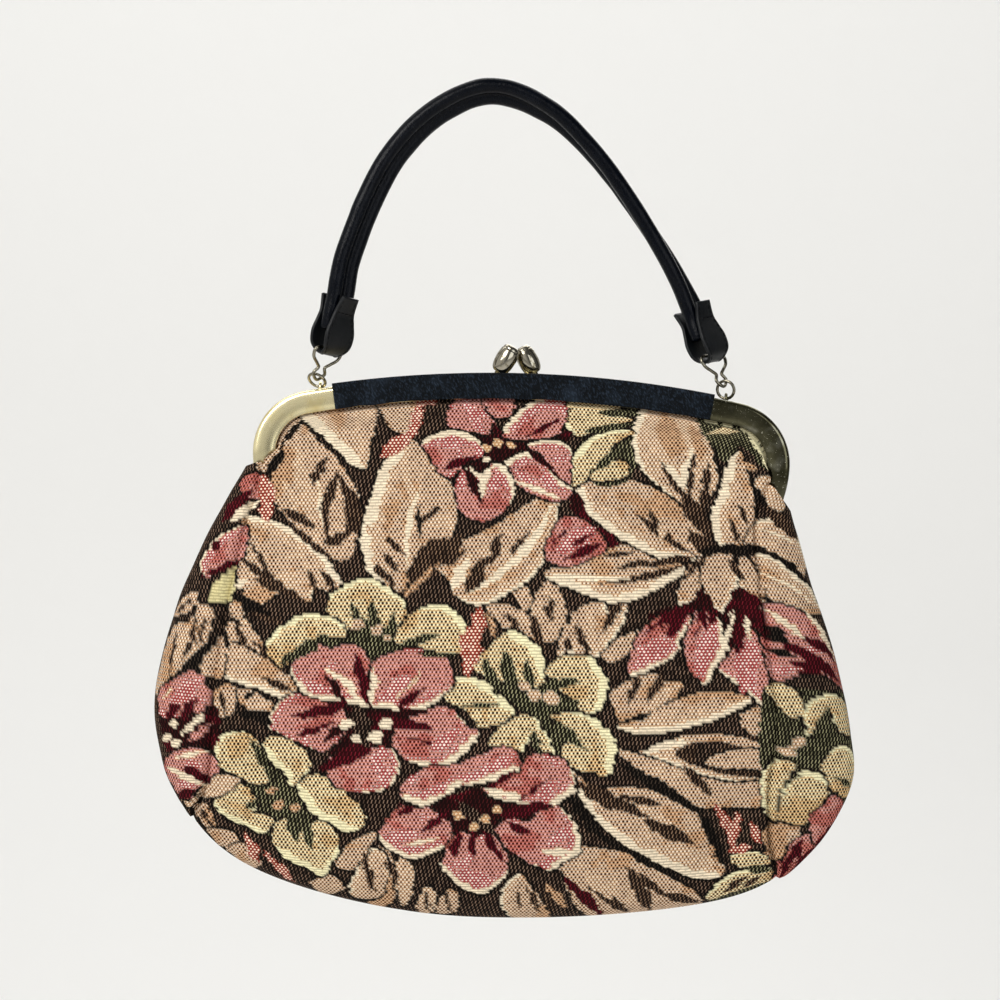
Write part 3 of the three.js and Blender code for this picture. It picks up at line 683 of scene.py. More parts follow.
def arch_points(run, inset, y):
    """Points of the frame's arch, at lengths along its outer edge and distances in from it."""
    run, inset, y = np.broadcast_arrays(np.asarray(run, float), inset, y)
    along = np.abs(run)
    on_rail = along <= RAIL_RUN
    angle = np.where(on_rail, along / RAIL_RADIUS, RAIL_ANGLE + (along - RAIL_RUN) / CORNER_RADIUS)
    radius = np.where(on_rail, RAIL_RADIUS, CORNER_RADIUS) - inset
    x = np.where(on_rail, 0, CORNER_X) + radius * np.sin(angle)
    z = np.where(on_rail, RAIL_CENTRE_Z, CORNER_Z) + radius * np.cos(angle)
    leg = along > ARCH_RUN
    x = np.where(leg, FRAME_HALF_WIDTH - inset, x)
    z = np.where(leg, CORNER_Z - along + ARCH_RUN, z)
    return np.stack([np.where(run < 0, -x, x), y, z], axis=-1)


# Cloth surfaces

def smooth_noise(x, y, size, seed):
    """Soft noise from -1 to 1, with lumps of about the given size."""
    column, row = np.floor(x / size), np.floor(y / size)
    fx, fy = x / size - column, y / size - row
    fx, fy = fx * fx * (3 - 2 * fx), fy * fy * (3 - 2 * fy)
    corner = [[cell_noise(column + i, row + j, seed) for i in (0, 1)] for j in (0, 1)]
    top = corner[0][0] * (1 - fx) + corner[0][1] * fx
    bottom = corner[1][0] * (1 - fx) + corner[1][1] * fx
    return 2 * (top * (1 - fy) + bottom * fy) - 1


# Factors of the lattice's noise: of the column, the row and the seed, and the one that scatters them
NOISE_COLUMN = 127.1
NOISE_ROW = 311.7
NOISE_SEED = 74.7
NOISE_SCATTER = 43758.5453


def cell_noise(column, row, seed):
    """An even random share for each cell of a lattice."""
    wave = np.sin(column * NOISE_COLUMN + row * NOISE_ROW + seed * NOISE_SEED) * NOISE_SCATTER
    return wave - np.floor(wave)


def row_points(row, u):
    rise = np.where(u < 0, row["leftZ"], row["rightZ"]) - row["middleZ"]
    x = (row["leftX"] + row["rightX"]) / 2 + u * (row["rightX"] - row["leftX"]) / 2
    z = row["middleZ"] + rise * (row["curve"] * u**2 + (1 - row["curve"]) * np.abs(u) ** SEAM_TURN)
    y = row["middleY"] + (row["seamY"] - row["middleY"]) * np.abs(u) ** row["round"]
    return np.stack([x, -y, z], axis=1)


# Where the cloth comes out of the channel: distance in from the frame's edge, and y
LIP_INSET = CHANNEL_FACE + 2.0
LIP_Y = -(CHANNEL_DEPTH + FIT + COVER_THICKNESS + 0.5)
# Rows of the tuck into the channel: distance in from the frame's edge, and y
TUCK = ((6.0, -3.0), (10.2, -3.4), (11.1, -5.2))
# The shoulders of the cloth puff out over the frame's legs: how far, at what height, over what run
PUFF = 3.2
PUFF_Z = -155.0
PUFF_RUN = 8.0


def panel_grid(u, shares):
    """The middle of a panel's cloth: the tuck into the channel and then the fall to the bottom."""
    run = u * ARCH_RUN
    tuck = [arch_points(run, inset, y) for inset, y in TUCK]
    keys = [arch_points(run, LIP_INSET, LIP_Y)] + [row_points(row, u) for row in PANEL_ROWS]
    fall = through(np.stack(keys), shares)
    puff = PUFF * np.exp(-(((fall[..., 2] - PUFF_Z) / PUFF_RUN) ** 2))
    fall[..., 0] += puff * np.sign(u) * np.abs(u) ** SEAM_TURN
    return np.concatenate([np.stack(tuck), fall])


def fold_depth(x, z):
    depth = np.zeros_like(x)
    for fold in FOLDS:
        turn = math.radians(fold["angle"])
        dx, dz = x - fold["x"], z - fold["z"]
        along = (dx * math.cos(turn) + dz * math.sin(turn)) / fold["length"]
        across = (dz * math.cos(turn) - dx * math.sin(turn)) / fold["width"]
        depth += fold["depth"] * np.exp(-(along**2) - across**2)
    return depth


# Unevenness of hanging cloth: height and size, and how far it reaches from the seams or from the top
LUMP = 0.55
LUMP_SIZE = 34.0
SMALL_LUMP = 0.28
SMALL_LUMP_SIZE = 13.0
PUCKER = 0.55
PUCKER_SIZE = 6.5
PUCKER_SQUEEZE = 0.3  # puckers are longer across, and gathers are longer down
PUCKER_REACH = 7.0
GATHER = 0.7
GATHER_SIZE = 8.0
GATHER_SQUEEZE = 0.2
GATHER_REACH = 16.0


def relief(grid, to_seam, top_run, seed):
    """Small unevenness of hanging cloth: soft lumps, puckers at the seams and gathers at the top."""
    x, z = grid[..., 0], grid[..., 2]
    lumps = LUMP * smooth_noise(x, z, LUMP_SIZE, seed)
    lumps = lumps + SMALL_LUMP * smooth_noise(x, z, SMALL_LUMP_SIZE, seed + 1)
    pucker = PUCKER * smooth_noise(x * PUCKER_SQUEEZE, z, PUCKER_SIZE, seed + 2)
    gather = GATHER * smooth_noise(x, z * GATHER_SQUEEZE, GATHER_SIZE, seed + 3)
    at_seam = np.exp(-to_seam / PUCKER_REACH)
    at_top = np.exp(-np.maximum(top_run, 0) / GATHER_REACH)
    return lumps + pucker * at_seam + gather * at_top


CLOTH_HALF = 0.8
SEAM_DIP = 2.9
SEAM_DIP_RUN = 1.3
SEAM_START = 0.6  # a panel's seam dip comes in from this share of the way to the shoulder
NO_SEAM = 30.0  # distance to a seam where there is none
RELIEF_START = 0.02  # a panel's relief comes in from this share of its fall, over this much of it
RELIEF_RUN = 0.1
BOTTOM_ROOM = 6.0  # relief fades this close to the bottom, and dips this close to the centre plane


def seam_dip(to_seam):
    return SEAM_DIP * np.exp(-((to_seam / SEAM_DIP_RUN) ** 2))


def panel_surface(columns, rows, seed, folded):
    """The outer face of a panel, with its relief, its folds and the dips at its seams."""
    u = np.linspace(-1, 1, columns + 1)
    shares = np.linspace(0, 1, rows + 1)
    grid = panel_grid(u, shares)
    normals = grid_normals(grid)
    across = run_along(grid, 1)
    to_side = np.minimum(across, across[:, -1:] - across)
    down = run_along(grid, 0)
    share = np.concatenate([np.zeros(len(TUCK)), shares])[:, None]
    has_seam = np.clip((share / SHOULDER_SHARE - SEAM_START) / (1 - SEAM_START), 0, 1)
    to_seam = to_side + (1 - has_seam) * NO_SEAM
    fall = np.clip((share - RELIEF_START) / RELIEF_RUN, 0, 1)
    push = (CLOTH_HALF + relief(grid, to_seam, down - down[len(TUCK)], seed)) * fall
    if folded:
        fold = fold_depth(grid[..., 0], grid[..., 2]) * (1 - np.abs(u)[None, :] ** FOLD_FADE)
        push = push - np.minimum(fold, FOLD_ROOM * np.abs(grid[..., 1])) * fall
    to_bottom = down[-1:] - down
    dip = seam_dip(to_seam) * np.minimum(1, np.abs(grid[..., 1]) / BOTTOM_ROOM)
    push = push * np.minimum(1, to_bottom / BOTTOM_ROOM) - dip
    return grid + normals * push[..., None]


ALLOWANCE = 2.2  # width of a gusset's seam allowance, tucked in behind a panel
ALLOWANCE_DROP = 1.4  # how far in it slopes, and the most of its depth that it takes
ALLOWANCE_SHARE = 0.8
COLUMN_SPREAD = 0.85  # power that draws a gusset's columns toward its seams
NO_TOP = 60.0  # distance to a gathered top where there is none
# A gusset that is narrower than these lies closer to its seams, with less relief and shallower dips
TIP_WIDTH = 10.0
RELIEF_WIDTH = 30.0
DIP_WIDTH = 16.0


def seam_allowance(edge, side):
    depth = np.abs(edge[..., 1])
    tucked = edge.copy()
    tucked[..., 0] -= side * ALLOWANCE
    tucked[..., 1] -= np.sign(edge[..., 1]) * np.minimum(ALLOWANCE_DROP, ALLOWANCE_SHARE * depth)
    return tucked


def gusset_surface(side, columns, rows, seed):
    """The outer face of a gusset: rows down the side seam, columns from the front seam to the back."""
    seam_shares = np.linspace(SHOULDER_SHARE, 1, rows + 1)
    seam = panel_grid(np.array([float(side)]), seam_shares)[len(TUCK) :, 0]
    name = "left" if side < 0 else "right"
    edge = curve_through([[row[name + "X"], 0, row[name + "Z"]] for row in GUSSET_ROWS], rows + 1)
    w = np.linspace(1, -1, columns + 1)[None, :]
    w = np.sign(w) * np.abs(w) ** COLUMN_SPREAD
    out = 1 - np.abs(w) ** GUSSET_ROUND
    x = seam[:, :1] + (edge[:, :1] - seam[:, :1]) * out
    z = seam[:, 2:] + (edge[:, 2:] - seam[:, 2:]) * out
    grid = np.stack([x, seam[:, 1:2] * w, z], axis=2)
    normals = grid_normals(grid) * side
    across = run_along(grid, 1)
    to_seam = np.minimum(across, across[:, -1:] - across)
    width = across[:, -1:]
    uneven = relief(grid, to_seam, np.full_like(to_seam, NO_TOP), seed)
    push = CLOTH_HALF + uneven * np.minimum(1, width / RELIEF_WIDTH)
    dip = seam_dip(to_seam) * np.minimum(1, width / DIP_WIDTH)
    push = push * np.minimum(1, width / TIP_WIDTH) - dip
    surface = grid + normals * push[..., None]
    front = seam_allowance(surface[:, :1], side)
    back = seam_allowance(surface[:, -1:], side)
    return np.concatenate([front, surface, back], axis=1)


# Chart of the floral pattern, in the photograph's pixels

# The dark under colours of the dotted yarns hold the painted shade of the dips, so the dots are shaded too.
YARNS = table(
    ["name", "main", "under", "dots", "floats", "flecks"],
    [
        ["ground", (14, 8, 6), (150, 122, 102), 0, 0, 0.85],
        ["black", (8, 6, 5), (104, 88, 74), 0, 0, 0.35],
        ["shade", (22, 13, 9), (158, 126, 100), 0, 0, 0.9],
        ["tan", (228, 211, 191), (54, 21, 2), 0.67, 0, 0],
        ["warm", (218, 189, 158), (52, 20, 2), 0.7, 0, 0],
        ["light", (240, 224, 202), (80, 42, 18), 0.54, 0.42, 0],
        ["cream", (242, 225, 196), (92, 65, 40), 0, 0.95, 0],
        ["pink", (220, 167, 166), (70, 11, 8), 0.68, 0, 0],
        ["rose", (172, 84, 86), (246, 224, 214), 0.7, 0, 0],
        ["deep", (203, 129, 126), (62, 9, 6), 0.74, 0, 0],
        ["wine", (42, 7, 11), (126, 30, 42), 0, 0, 0.85],
        ["dusk", (24, 8, 8), (96, 32, 32), 0, 0, 0.6],
        ["coral", (152, 62, 48), (254, 226, 204), 0.72, 0, 0],
        ["yellow", (244, 237, 200), (39, 18, 1), 0.74, 0, 0],
        ["peach", (234, 213, 167), (37, 16, 2), 0.78, 0, 0],
        ["straw", (242, 233, 190), (116, 98, 52), 0, 0.9, 0],
        # Straw dulled with painted shade, for a straw motif that lies in shade on the left side.
        ["hay", (212, 201, 150), (104, 86, 44), 0, 0.85, 0],
        ["olive", (18, 16, 9), (186, 180, 138), 0, 0, 0.8],
        ["stamen", (236, 208, 172), (104, 66, 40), 0.3, 0.4, 0],
    ],
)
YARN = {row["name"]: k for k, row in enumerate(YARNS)}

# How each kind of motif is woven: body, second shade of it, edge beside the rim, and rim
KINDS = {
    "leaf": ("tan", "warm", "light", "cream"),
    "pale": ("light", "tan", "light", "cream"),
    "pink": ("pink", "deep", "rose", "cream"),
    "yellow": ("yellow", "peach", "yellow", "straw"),
    "wine": ("dusk", "wine", "dusk", "dusk"),
    "olive": ("olive", "olive", "olive", "olive"),
    "shade": ("shade", "ground", "shade", "shade"),
    "hay": ("hay", "hay", "hay", "hay"),
}

# Motifs, back ones first: kind, points round the outline as x and y in turn, and for those with a
# rim its width and the way that it faces in degrees (0 is right and 90 is down).
LEAVES = [
    ("leaf", [262, 472, 257, 452, 280, 430, 300, 416, 290, 438, 282, 454, 272, 464]),
    ("leaf", [296, 408, 330, 390, 372, 394, 376, 425, 369, 450, 366, 468, 350, 463, 328, 440], 17, 130),
    ("leaf", [376, 394, 420, 392, 419, 415, 408, 433, 396, 431, 383, 415]),
    ("leaf", [301, 424, 318, 440, 340, 464, 356, 490, 360, 515, 353, 545, 336, 560, 312, 546, 290, 520,
        274, 500, 272, 478, 284, 446]),
    ("leaf", [408, 437, 424, 450, 440, 468, 453, 490, 457, 515, 448, 540, 424, 560, 402, 590, 380, 584,
        364, 560, 361, 535, 368, 505, 378, 475, 392, 452], 19, 195),
    ("leaf", [246, 517, 270, 520, 296, 532, 318, 550, 334, 568, 341, 586, 326, 590, 316, 588, 308, 601,
        296, 595, 284, 589, 279, 592, 266, 600, 254, 607, 244, 592, 238, 572, 241, 540], 10, 315),
    ("leaf", [229, 602, 240, 604, 245, 620, 256, 632, 267, 649, 262, 654, 250, 646, 241, 628, 232, 614]),
    ("leaf", [227, 622, 236, 622, 240, 634, 246, 652, 233, 644]),
    ("leaf", [222, 656, 236, 644, 250, 650, 268, 660, 286, 672, 297, 690, 286, 698, 262, 690, 240, 684,
        225, 676], 8, 100),
    ("leaf", [236, 693, 250, 689, 268, 700, 290, 712, 288, 723, 262, 717, 244, 706]),
    # Light yarn in the fold at the left seam, woven in the darker leaf kind as painted shade.
    ("leaf", [216, 690, 228, 684, 237, 694, 229, 715, 218, 716]),
    ("leaf", [488, 606, 504, 604, 522, 611, 537, 622, 540, 642, 520, 633, 500, 624]),
    ("leaf", [513, 590, 525, 586, 532, 607, 522, 608]),
    ("leaf", [550, 580, 562, 598, 565, 620, 553, 642, 540, 638, 531, 615, 537, 592]),
    ("leaf", [558, 657, 562, 638, 580, 608, 604, 601, 611, 612, 626, 603, 623, 622, 605, 652, 592, 659,
        576, 652], 11, 15),
    ("leaf", [602, 656, 618, 640, 642, 631, 635, 647, 612, 662]),
    ("leaf", [436, 563, 455, 545, 486, 530, 520, 510, 540, 497, 556, 497, 558, 515, 551, 545, 537, 572,
        510, 592, 478, 605, 457, 597, 448, 580], 6, 60),
    ("pale", [646, 400, 690, 402, 707, 432, 717, 460, 717, 482, 700, 506, 684, 506, 660, 487, 641, 468,
        632, 442, 638, 416], 11, 205),
    ("leaf", [738, 451, 747, 470, 753, 500, 755, 530, 740, 553, 722, 549, 711, 520, 719, 492,
        727, 466], 15, 195),
    ("pale", [755, 480, 772, 477, 790, 506, 776, 512, 762, 499]),
    ("pale", [744, 549, 755, 524, 776, 519, 797, 535, 808, 560, 800, 577, 780, 559, 762, 551], 9, 300),
    ("leaf", [753, 556, 772, 556, 792, 573, 814, 592, 824, 612, 800, 614, 776, 606, 757, 596], 9, 310),
    ("leaf", [544, 575, 560, 566, 584, 556, 610, 546, 640, 547, 668, 555, 702, 560, 684, 573, 662, 586,
        640, 597, 612, 603, 582, 593], 14, 95),
    ("leaf", [577, 483, 604, 479, 640, 483, 676, 503, 701, 532, 709, 557, 688, 561, 662, 559, 636, 547,
        606, 529, 583, 506], 14, 140),
    ("leaf", [706, 556, 717, 566, 706, 585, 692, 608, 677, 603, 680, 584, 692, 566], 9, 100),
    ("leaf", [743, 556, 757, 572, 762, 606, 744, 599, 737, 576], 8, 100),
    ("leaf", [708, 558, 724, 551, 737, 566, 737, 584, 722, 613, 709, 600, 701, 580], 11, 70),
    ("leaf", [611, 697, 622, 684, 640, 677, 660, 674, 663, 681, 681, 683, 677, 697, 664, 709, 640, 717,
        620, 721, 615, 710]),
    ("leaf", [618, 727, 646, 714, 680, 699, 716, 691, 752, 699, 742, 707, 716, 719, 690, 727, 660, 733,
        632, 733], 11, 95),
    ("leaf", [742, 712, 764, 704, 776, 716, 778, 732, 750, 734, 741, 722]),
    ("leaf", [638, 753, 655, 747, 670, 740, 692, 735, 732, 736, 770, 750, 774, 782, 736, 782, 700, 774,
        668, 762], 5, 100),
    ("shade", [674, 752, 690, 744, 720, 741, 752, 751, 776, 760, 772, 775, 735, 776, 700, 768, 682, 760]),
    ("leaf", [706, 762, 726, 752, 750, 749, 776, 757, 772, 768, 740, 768, 722, 768]),
    ("leaf", [616, 750, 650, 758, 690, 773, 730, 783, 774, 784, 774, 804, 730, 807, 700, 807, 672, 791,
        640, 769]),
    ("leaf", [558, 846, 590, 847, 620, 852, 650, 862, 680, 882, 702, 902, 660, 912, 600, 918, 578, 908,
        564, 880]),
    ("leaf", [574, 774, 600, 789, 626, 787, 652, 791, 686, 807, 707, 824, 717, 850, 722, 875, 694, 878,
        660, 864, 630, 848, 604, 828, 582, 800], 14, 125),
    ("leaf", [500, 898, 508, 882, 519, 874, 529, 884, 540, 900, 550, 917, 520, 920, 506, 912], 6, 200),
    ("leaf", [418, 910, 423, 889, 433, 888, 432, 912]),
    ("leaf", [437, 912, 442, 895, 453, 889, 458, 910]),
    ("leaf", [370, 852, 384, 847, 393, 870, 392, 902, 372, 906]),
    ("pale", [395, 882, 402, 851, 411, 862, 412, 890, 404, 906]),
    ("pale", [350, 894, 357, 866, 366, 851, 378, 849, 386, 862, 380, 896], 6, 230),
    ("leaf", [336, 864, 346, 847, 360, 837, 376, 833, 367, 851, 350, 870]),
    ("pale", [183, 800, 191, 792, 199, 793, 195, 803, 188, 807]),
    ("leaf", [195, 806, 204, 803, 212, 815, 215, 829, 206, 826, 198, 816]),
    ("leaf", [207, 830, 220, 829, 236, 834, 239, 842, 226, 847, 214, 841]),
    ("leaf", [227, 848, 240, 843, 252, 850, 260, 863, 252, 869, 238, 860]),
    ("leaf", [310, 884, 330, 875, 344, 886, 330, 894]),
    ("leaf", [168, 616, 180, 600, 197, 592, 200, 601, 188, 612]),
    ("leaf", [148, 694, 156, 660, 167, 634, 180, 623, 193, 622, 201, 607, 212, 606, 213, 628, 204, 646,
        190, 660, 173, 676, 160, 692]),
    ("leaf", [200, 666, 212, 646, 223, 636, 226, 660, 222, 677, 204, 675]),
    ("leaf", [764, 830, 780, 821, 796, 826, 792, 846, 770, 860]),
]
FLOWERS = [
    # Top right, half hidden by the frame
    ("olive", [596, 416, 638, 404, 630, 424, 630, 446, 637, 464, 622, 484, 590, 482, 580, 450]),
    ("yellow", [560, 396, 600, 394, 640, 400, 612, 412, 632, 420, 604, 426, 580, 436, 566, 424], 10, 190),
    ("yellow", [566, 478, 572, 456, 592, 438, 618, 430, 634, 432, 612, 446, 600, 466, 588, 478,
        574, 486], 12, 200),
    ("yellow", [590, 478, 604, 464, 626, 462, 628, 474, 610, 480]),
    ("olive", [694, 412, 730, 416, 760, 430, 766, 470, 740, 446, 726, 462, 712, 446]),
    # Pink flower under the rail
    ("wine", [466, 434, 488, 412, 506, 434, 560, 430, 574, 434, 562, 446, 520, 458, 500, 466, 480, 474,
        454, 480, 470, 455]),
    ("pink", [447, 414, 456, 400, 480, 392, 493, 408, 489, 433, 470, 431, 452, 428]),
    ("pink", [483, 394, 513, 392, 511, 414, 498, 418, 488, 411]),
    ("pink", [503, 435, 511, 420, 527, 405, 548, 397, 564, 402, 566, 420, 557, 435, 530, 439,
        514, 439], 9, 225),
    ("pink", [422, 445, 438, 433, 460, 431, 479, 440, 481, 456, 464, 463, 452, 477, 443, 475,
        431, 458], 9, 275),
    ("pink", [528, 446, 548, 440, 567, 445, 571, 470, 567, 488, 556, 477, 545, 458], 6, 275),
    ("pink", [505, 464, 518, 454, 534, 453, 547, 466, 559, 480, 571, 490, 565, 499, 545, 499, 524, 489,
        511, 478], 10, 250),
    ("pink", [455, 492, 458, 477, 468, 467, 482, 474, 494, 463, 507, 469, 514, 486, 509, 504, 496, 517,
        480, 521, 463, 513], 10, 310),
    # Bud
    ("wine", [570, 494, 582, 499, 591, 522, 611, 534, 620, 545, 602, 547, 588, 531, 573, 512]),
    ("pink", [545, 557, 551, 536, 562, 518, 580, 519, 599, 534, 607, 546, 592, 557, 566, 566]),
    # Hanging pink flower
    ("wine", [648, 616, 690, 601, 702, 588, 720, 613, 736, 588, 764, 604, 774, 640, 742, 652, 722, 664,
        690, 642, 660, 640]),
    ("pink", [629, 668, 633, 650, 643, 630, 660, 616, 684, 609, 691, 620, 681, 640, 677, 653, 660, 665,
        644, 673, 631, 675], 7, 60),
    ("pink", [685, 650, 689, 630, 700, 611, 717, 617, 724, 640, 719, 660, 704, 684, 693, 673], 7, 30),
    ("pink", [721, 668, 731, 655, 741, 640, 752, 629, 764, 650, 767, 676, 764, 707, 748, 691,
        731, 681], 8, 80),
    # Upper yellow flower
    ("olive", [304, 652, 326, 618, 344, 602, 382, 600, 410, 620, 444, 638, 456, 656, 420, 660, 380, 668,
        345, 662]),
    ("yellow", [327, 614, 329, 598, 342, 587, 364, 578, 386, 587, 403, 602, 404, 617, 388, 628, 366, 620,
        344, 630, 333, 622], 9, 275),
    ("yellow", [267, 646, 280, 628, 300, 616, 322, 615, 341, 624, 347, 637, 320, 636, 302, 650, 284, 666,
        273, 659], 9, 255),
    ("yellow", [397, 641, 403, 622, 425, 607, 446, 606, 461, 618, 467, 636, 459, 653, 440, 652,
        420, 647], 13, 320),
    # Middle yellow flower
    ("olive", [478, 668, 500, 650, 530, 660, 560, 670, 580, 690, 580, 722, 566, 745, 560, 770, 540, 745,
        520, 712, 500, 690]),
    ("yellow", [476, 669, 483, 655, 496, 642, 510, 631, 527, 637, 541, 651, 547, 668, 541, 683, 526, 690,
        512, 682, 498, 681, 486, 675], 18, 315),
    ("yellow", [445, 687, 456, 679, 470, 677, 486, 683, 501, 694, 514, 713, 506, 719, 498, 723, 480, 727,
        468, 712, 456, 705, 444, 697], 15, 315),
    ("yellow", [547, 673, 557, 660, 575, 655, 594, 659, 605, 676, 607, 695, 597, 711, 582, 713, 573, 698,
        561, 690, 555, 681], 17, 0),
    ("yellow", [489, 743, 500, 728, 514, 718, 530, 716, 542, 728, 553, 753, 546, 758, 531, 739, 520, 752,
        506, 749], 7, 20),
    ("yellow", [551, 718, 570, 713, 590, 716, 604, 727, 615, 742, 613, 765, 606, 777, 592, 771, 576, 769,
        561, 751, 572, 738], 17, 350),
    # Lower left yellow flower
    ("olive", [236, 792, 256, 768, 282, 756, 302, 790, 312, 822, 292, 842, 262, 832, 246, 810]),
    ("yellow", [213, 750, 217, 738, 232, 732, 250, 735, 263, 752, 273, 779, 258, 784, 240, 777, 226, 771,
        215, 762], 9, 200),
    ("yellow", [263, 745, 272, 736, 290, 741, 304, 751, 311, 764, 301, 777, 294, 786, 284, 773,
        271, 760], 11, 120),
    ("yellow", [299, 786, 312, 775, 326, 777, 344, 791, 358, 805, 366, 816, 359, 829, 344, 831, 330, 823,
        311, 811], 15, 135),
    ("yellow", [215, 802, 226, 787, 240, 783, 252, 793, 259, 806, 251, 812, 269, 816, 273, 823, 262, 833,
        244, 825, 225, 817], 8, 120),
    ("yellow", [273, 838, 276, 823, 290, 819, 297, 832, 308, 828, 316, 821, 333, 829, 339, 846, 331, 863,
        322, 876, 304, 867, 287, 859, 277, 851], 13, 80),
    # Big pink flower
    ("wine", [296, 702, 340, 699, 366, 706, 400, 706, 436, 710, 424, 736, 402, 748, 376, 752, 350, 756,
        320, 772, 330, 742, 303, 732]),
    ("pink", [270, 727, 273, 710, 286, 698, 304, 693, 330, 703, 346, 715, 341, 736, 322, 751, 305, 745,
        285, 736], 3, 190),
    ("pink", [392, 740, 399, 727, 409, 719, 426, 711, 442, 707, 456, 713, 465, 724, 478, 734, 472, 745,
        462, 755, 451, 765, 434, 767, 414, 763, 400, 755], 12, 40),
    ("pink", [327, 769, 330, 758, 346, 756, 360, 758, 366, 750, 379, 747, 391, 750, 399, 764, 394, 781,
        383, 790, 366, 792, 350, 790, 337, 786, 329, 777], 4, 20),
    ("pink", [293, 667, 298, 655, 308, 647, 317, 643, 330, 649, 341, 646, 353, 645, 364, 653, 370, 662,
        368, 676, 370, 693, 370, 707, 358, 705, 343, 703, 326, 700, 303, 692, 295, 682], 10, 110),
    ("pink", [373, 669, 376, 660, 387, 656, 406, 649, 419, 649, 427, 655, 437, 654, 447, 659, 453, 670,
        452, 684, 446, 694, 436, 702, 419, 710, 403, 713, 393, 710, 386, 707, 373, 707,
        370, 693], 9, 100),
    # Lower pink flower
    ("wine", [396, 806, 440, 799, 480, 788, 520, 800, 562, 802, 546, 830, 520, 852, 500, 856, 470, 856,
        440, 834]),
    ("pink", [379, 837, 389, 818, 402, 807, 420, 805, 434, 811, 447, 820, 451, 838, 446, 847, 430, 853,
        412, 859, 395, 853], 9, 110),
    ("pink", [497, 827, 512, 818, 530, 822, 540, 812, 556, 805, 569, 815, 578, 830, 580, 850, 566, 860,
        552, 870, 538, 866, 525, 861, 511, 851, 501, 840], 11, 30),
    ("pink", [441, 863, 446, 850, 453, 838, 463, 832, 475, 837, 488, 833, 499, 842, 505, 854, 507, 868,
        501, 881, 482, 894, 463, 888, 449, 877], 10, 95),
    ("pink", [485, 791, 500, 782, 518, 768, 530, 756, 545, 755, 563, 759, 573, 775, 576, 788, 561, 801,
        540, 809, 520, 803, 500, 799], 9, 50),
    ("pink", [401, 796, 409, 778, 430, 767, 455, 765, 480, 755, 505, 747, 519, 757, 521, 767, 500, 779,
        480, 783, 460, 787, 440, 799, 420, 806, 409, 801], 13, 95),
    # Right side
    ("pink", [763, 605, 790, 609, 813, 625, 838, 655, 846, 690, 820, 674, 800, 674, 775, 681, 767, 660,
        761, 630]),
    ("olive", [768, 684, 800, 690, 848, 694, 862, 720, 862, 760, 850, 795, 800, 826, 768, 800]),
    ("yellow", [767, 688, 776, 683, 797, 696, 801, 713, 790, 717, 779, 705]),
    ("yellow", [801, 712, 812, 699, 830, 695, 850, 706, 853, 725, 848, 736, 834, 729, 824, 712, 812, 722,
        806, 736], 7, 225),
    ("yellow", [817, 766, 826, 751, 842, 746, 856, 760, 858, 777, 852, 792, 838, 797, 825, 786], 8, 300),
    ("yellow", [783, 790, 792, 775, 806, 771, 819, 780, 821, 800, 808, 816, 796, 824, 779, 819,
        777, 800], 11, 270),
    ("yellow", [764, 770, 776, 761, 791, 764, 784, 780, 777, 800, 775, 822, 766, 812], 7, 200),
    ("pink", [774, 882, 783, 856, 797, 837, 809, 834, 808, 858, 794, 880]),
    ("pink", [805, 821, 815, 807, 828, 796, 840, 808, 830, 830, 812, 844]),
    ("yellow", [731, 858, 748, 852, 766, 856, 768, 868, 746, 873], 3, 270),
    ("yellow", [706, 898, 722, 880, 738, 871, 772, 869, 766, 888, 736, 900], 6, 250),
    # Left side
    ("pink", [240, 482, 256, 473, 264, 480, 259, 498, 244, 494]),
    ("pink", [202, 561, 212, 544, 226, 533, 246, 526, 244, 553, 232, 563, 220, 567, 214, 576,
        204, 574], 4, 200),
    # Straw motif on the left, in the straw yarn that is dulled with painted shade.
    ("hay", [212, 602, 213, 588, 224, 576, 236, 566, 234, 582, 229, 600]),
    ("wine", [160, 714, 200, 708, 216, 706, 217, 744, 200, 756, 168, 750]),
    ("pink", [158, 691, 176, 681, 192, 672, 205, 679, 210, 694, 205, 710, 196, 713, 176, 717, 160, 716]),
    ("pink", [162, 765, 180, 751, 204, 749, 217, 762, 215, 778, 200, 786, 190, 799, 174, 788]),
    ("pale", [200, 795, 214, 777, 228, 775, 240, 780, 222, 795]),
]

